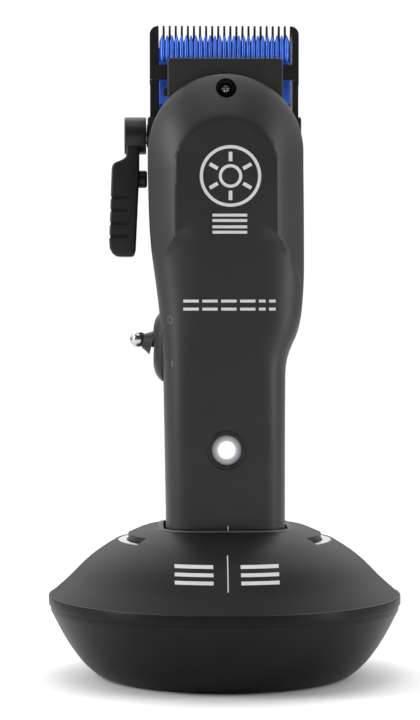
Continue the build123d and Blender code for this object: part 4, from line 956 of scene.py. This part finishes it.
for tooth in range(CUTTER_TEETH):
    middle = (tooth - (CUTTER_TEETH - 1) / 2) * CUTTER_PITCH
    first = len(rib_points)
    for z, wide, rise in RIB_LEVELS:
        rib_points += [(middle + x * wide, CUTTER_FRONT_Y + 0.55 - lift * rise, z) for x, lift in RIB_SECTION]
    size = len(RIB_SECTION)
    for level_index in range(len(RIB_LEVELS) - 1):
        for spot in range(size):
            a, b = first + level_index * size + spot, first + level_index * size + (spot + 1) % size
            rib_faces.append((a, b, b + size, a + size))
    rib_faces.append(tuple(first + spot for spot in range(size)))
    rib_faces.append(tuple(first + (len(RIB_LEVELS) - 1) * size + spot for spot in range(size)))
# the ribs wear the lighter blue copy, a painted highlight on their lit fronts
ribs = new_object("cutter_ribs", mesh_from("cutter_ribs", rib_points, rib_faces), BLUE_RIB_PAINTED_HIGHLIGHT, "cutter")
round_shading(ribs, 60)
apron_outline = [(-CUTTER_HALF, 175.4), (CUTTER_HALF, 175.4), (CUTTER_HALF, 188.3), (-CUTTER_HALF, 188.3)]
apron = new_object("cutter_apron", prism("cutter_apron", apron_outline, CUTTER_FRONT_Y, CUTTER_FRONT_Y + 0.6),
                   BLUE, "cutter")
soften(apron, 0.25)
round_shading(apron, 30)

# the steel edge of the fixed blade's right side, ground bare
edge_outline = [(20.35, 172.6), (21.0, 172.6), (21.0, 194.6), (20.7, 197.0), (20.35, 195.4)]
edge = new_object("ground_edge", prism("ground_edge", edge_outline, 2.93, 3.06), STEEL, "taper_blade")
round_shading(edge, 30)

# fixed blade: a comb of long teeth between two broad ends, thinner towards the tips
BLADE_HALF, BLADE_TOP_Z, BLADE_LOW_Z, BLADE_FRONT_Y, BLADE_BACK_Y = 23.0, 199.7, 181.6, 3.0, 5.5
GAP_LOW_Z, GAP_HALF, TIP_HALF = 192.6, 0.55, 0.31
SHOULDER_R, TIP_LONG = 2.6, 3.4


def comb_outline():
    """The fixed blade's outline: round shoulders, and tapering teeth with rounded gap floors."""
    line = [(BLADE_HALF, BLADE_LOW_Z)]
    for step in range(9):
        turn = math.pi / 2 * step / 8
        line.append((BLADE_HALF - SHOULDER_R + SHOULDER_R * math.cos(turn),
                     BLADE_TOP_Z - SHOULDER_R + SHOULDER_R * math.sin(turn)))
    for gap in range(COMB_GAPS - 1, -1, -1):
        middle = (gap - (COMB_GAPS - 1) / 2) * COMB_PITCH
        tip = COMB_PITCH / 2 - TIP_HALF
        line.append((middle + tip, BLADE_TOP_Z))
        line.append((middle + tip - 0.06, BLADE_TOP_Z - TIP_LONG))
        for step in range(7):
            turn = math.pi * step / 6
            line.append((middle + GAP_HALF * math.cos(turn),
                         GAP_LOW_Z + GAP_HALF - GAP_HALF * math.sin(turn)))
        line.append((middle - tip + 0.06, BLADE_TOP_Z - TIP_LONG))
        line.append((middle - tip, BLADE_TOP_Z))
    for step in range(9):
        turn = math.pi / 2 * (1 + step / 8)
        line.append((-BLADE_HALF + SHOULDER_R + SHOULDER_R * math.cos(turn),
                     BLADE_TOP_Z - SHOULDER_R + SHOULDER_R * math.sin(turn)))
    line.append((-BLADE_HALF, BLADE_LOW_Z))
    return line


comb = new_object("comb_blade", prism("comb_blade", comb_outline(), BLADE_FRONT_Y, BLADE_BACK_Y), BLADE,
                  "taper_blade", ["fixed_blade"])
bevel_section = ((BLADE_BACK_Y + 1, 188.0), (BLADE_BACK_Y, 188.0), (BLADE_FRONT_Y + 0.7, 200.5),
                 (BLADE_BACK_Y + 1, 200.5))
bevel_points = [(x, y, z) for x in (-30, 30) for y, z in bevel_section]
bevel_faces = [(0, 1, 2, 3), (4, 5, 6, 7), (0, 1, 5, 4), (1, 2, 6, 5), (2, 3, 7, 6), (3, 0, 4, 7)]
cut(comb, [mesh_from("grind", bevel_points, bevel_faces)]
    + [rod((side * 11, 2, 184.4), (0, 1, 0), 1.3, 6) for side in (-1, 1)])
round_shading(comb, 28)

# lever: a grip with a scooped shoulder and four grooves, under a round hub
LEVER_OUTLINE = [(-26.2, 163.0), (-30.3, 163.0), (-30.3, 159.6), (-30.55, 159.15), (-31.1, 158.7),
                 (-32.2, 158.15), (-33.3, 157.75), (-34.1, 157.25), (-34.6, 156.4), (-34.75, 155.0),
                 (-35.5, 133.2), (-35.35, 131.2), (-34.6, 129.7), (-33.4, 128.8), (-32.0, 128.6),
                 (-28.0, 128.6), (-27.35, 130.6), (-26.2, 155.0)]
GROOVES, GROOVE_TOP_Z, GROOVE_PITCH, GRIP_LEAN = 4, 146.9, 4.0, 0.0344
lever = new_object("lever_grip", prism("lever_grip", LEVER_OUTLINE, LEVER_Y - 4.8, LEVER_Y + 4.8), TRIM,
                   "taper_lever", ["taper_lever"])
soften(lever, 0.75, 40, 4)
for step in range(GROOVES):
    groove_z = GROOVE_TOP_Z - GROOVE_PITCH * step
    side_x = -34.75 - GRIP_LEAN * (155.0 - groove_z)
    cut(lever, [block((-37.0, LEVER_Y - 6, groove_z - 0.6), (side_x + 0.22, LEVER_Y + 6, groove_z + 0.6)),
                block((-36.2, LEVER_Y - 6, groove_z - 0.5), (-29.8, LEVER_Y - 4.1, groove_z + 0.5))])
cut(lever, [rod((-30.6, LEVER_Y, 152.6), (1, 0, 0), 2.75, 8)])
round_shading(lever, 28)
HUB_SECTION = [(1.65, 28.5), (1.65, 27.0), (3.02, 27.0), (3.02, 24.1), (5.55, 24.1), (5.7, 24.2),
               (5.75, 24.4), (5.75, 30.3), (5.65, 30.6), (5.4, 30.8), (3.35, 30.8), (3.1, 30.6), (3.1, 28.5)]
hub = new_object("lever_hub", turned_ring("lever_hub", HUB_SECTION, (0, LEVER_Y, LEVER_Z), (-1, 0, 0)), TRIM,
                 "taper_lever")
round_shading(hub, 35)

# nose plate with rounded edges, and the small stop screw at its left
NOSE_HALF, NOSE_TOP_Z, NOSE_BACK_Y = 17.6, 188.9, -2.0
nose_outline = [(-15.0, 168.0), (15.0, 168.0), (NOSE_HALF, 172.5), (NOSE_HALF, NOSE_TOP_Z - 0.9),
                (NOSE_HALF - 0.3, NOSE_TOP_Z - 0.25), (NOSE_HALF - 0.9, NOSE_TOP_Z),
                (-NOSE_HALF + 0.9, NOSE_TOP_Z), (-NOSE_HALF + 0.3, NOSE_TOP_Z - 0.25),
                (-NOSE_HALF, NOSE_TOP_Z - 0.9), (-NOSE_HALF, 172.5)]
nose = new_object("nose", prism("nose", nose_outline, NOSE_FRONT_Y, NOSE_BACK_Y), BODY, "clipper",
                  ["nose_plate"])
soften(nose, 0.45, 40, 3)
cut(nose, [rod((0, -8, FRONT_SCREW_Z), (0, 1, 0), 1.4, 8)])
round_shading(nose, 30)
STOP_AT = (-17.95, -2.1, 178.8)
stop_line = [(0.0, 0.0), (1.05, 0.0), (1.2, 0.15), (1.2, 1.6), (1.0, 1.9), (0.0, 1.9)]
stop = new_object("stop_screw", turned("stop_screw", stop_line, STOP_AT, FORWARD, 32), TRIM, "clipper")
round_shading(stop, 35)

# ---------------------------------------------------------------- floor
FLOOR_HALF = 3000
floor_points = [(x * FLOOR_HALF, y * FLOOR_HALF, 0) for x, y in ((-1, -1), (1, -1), (1, 1), (-1, 1))]
floor_mesh = mesh_from("floor", floor_points, [(0, 1, 2, 3)])
floor = bpy.data.objects.new("floor", floor_mesh)
scene.collection.objects.link(floor)
floor_mesh.materials.append(FLOOR)
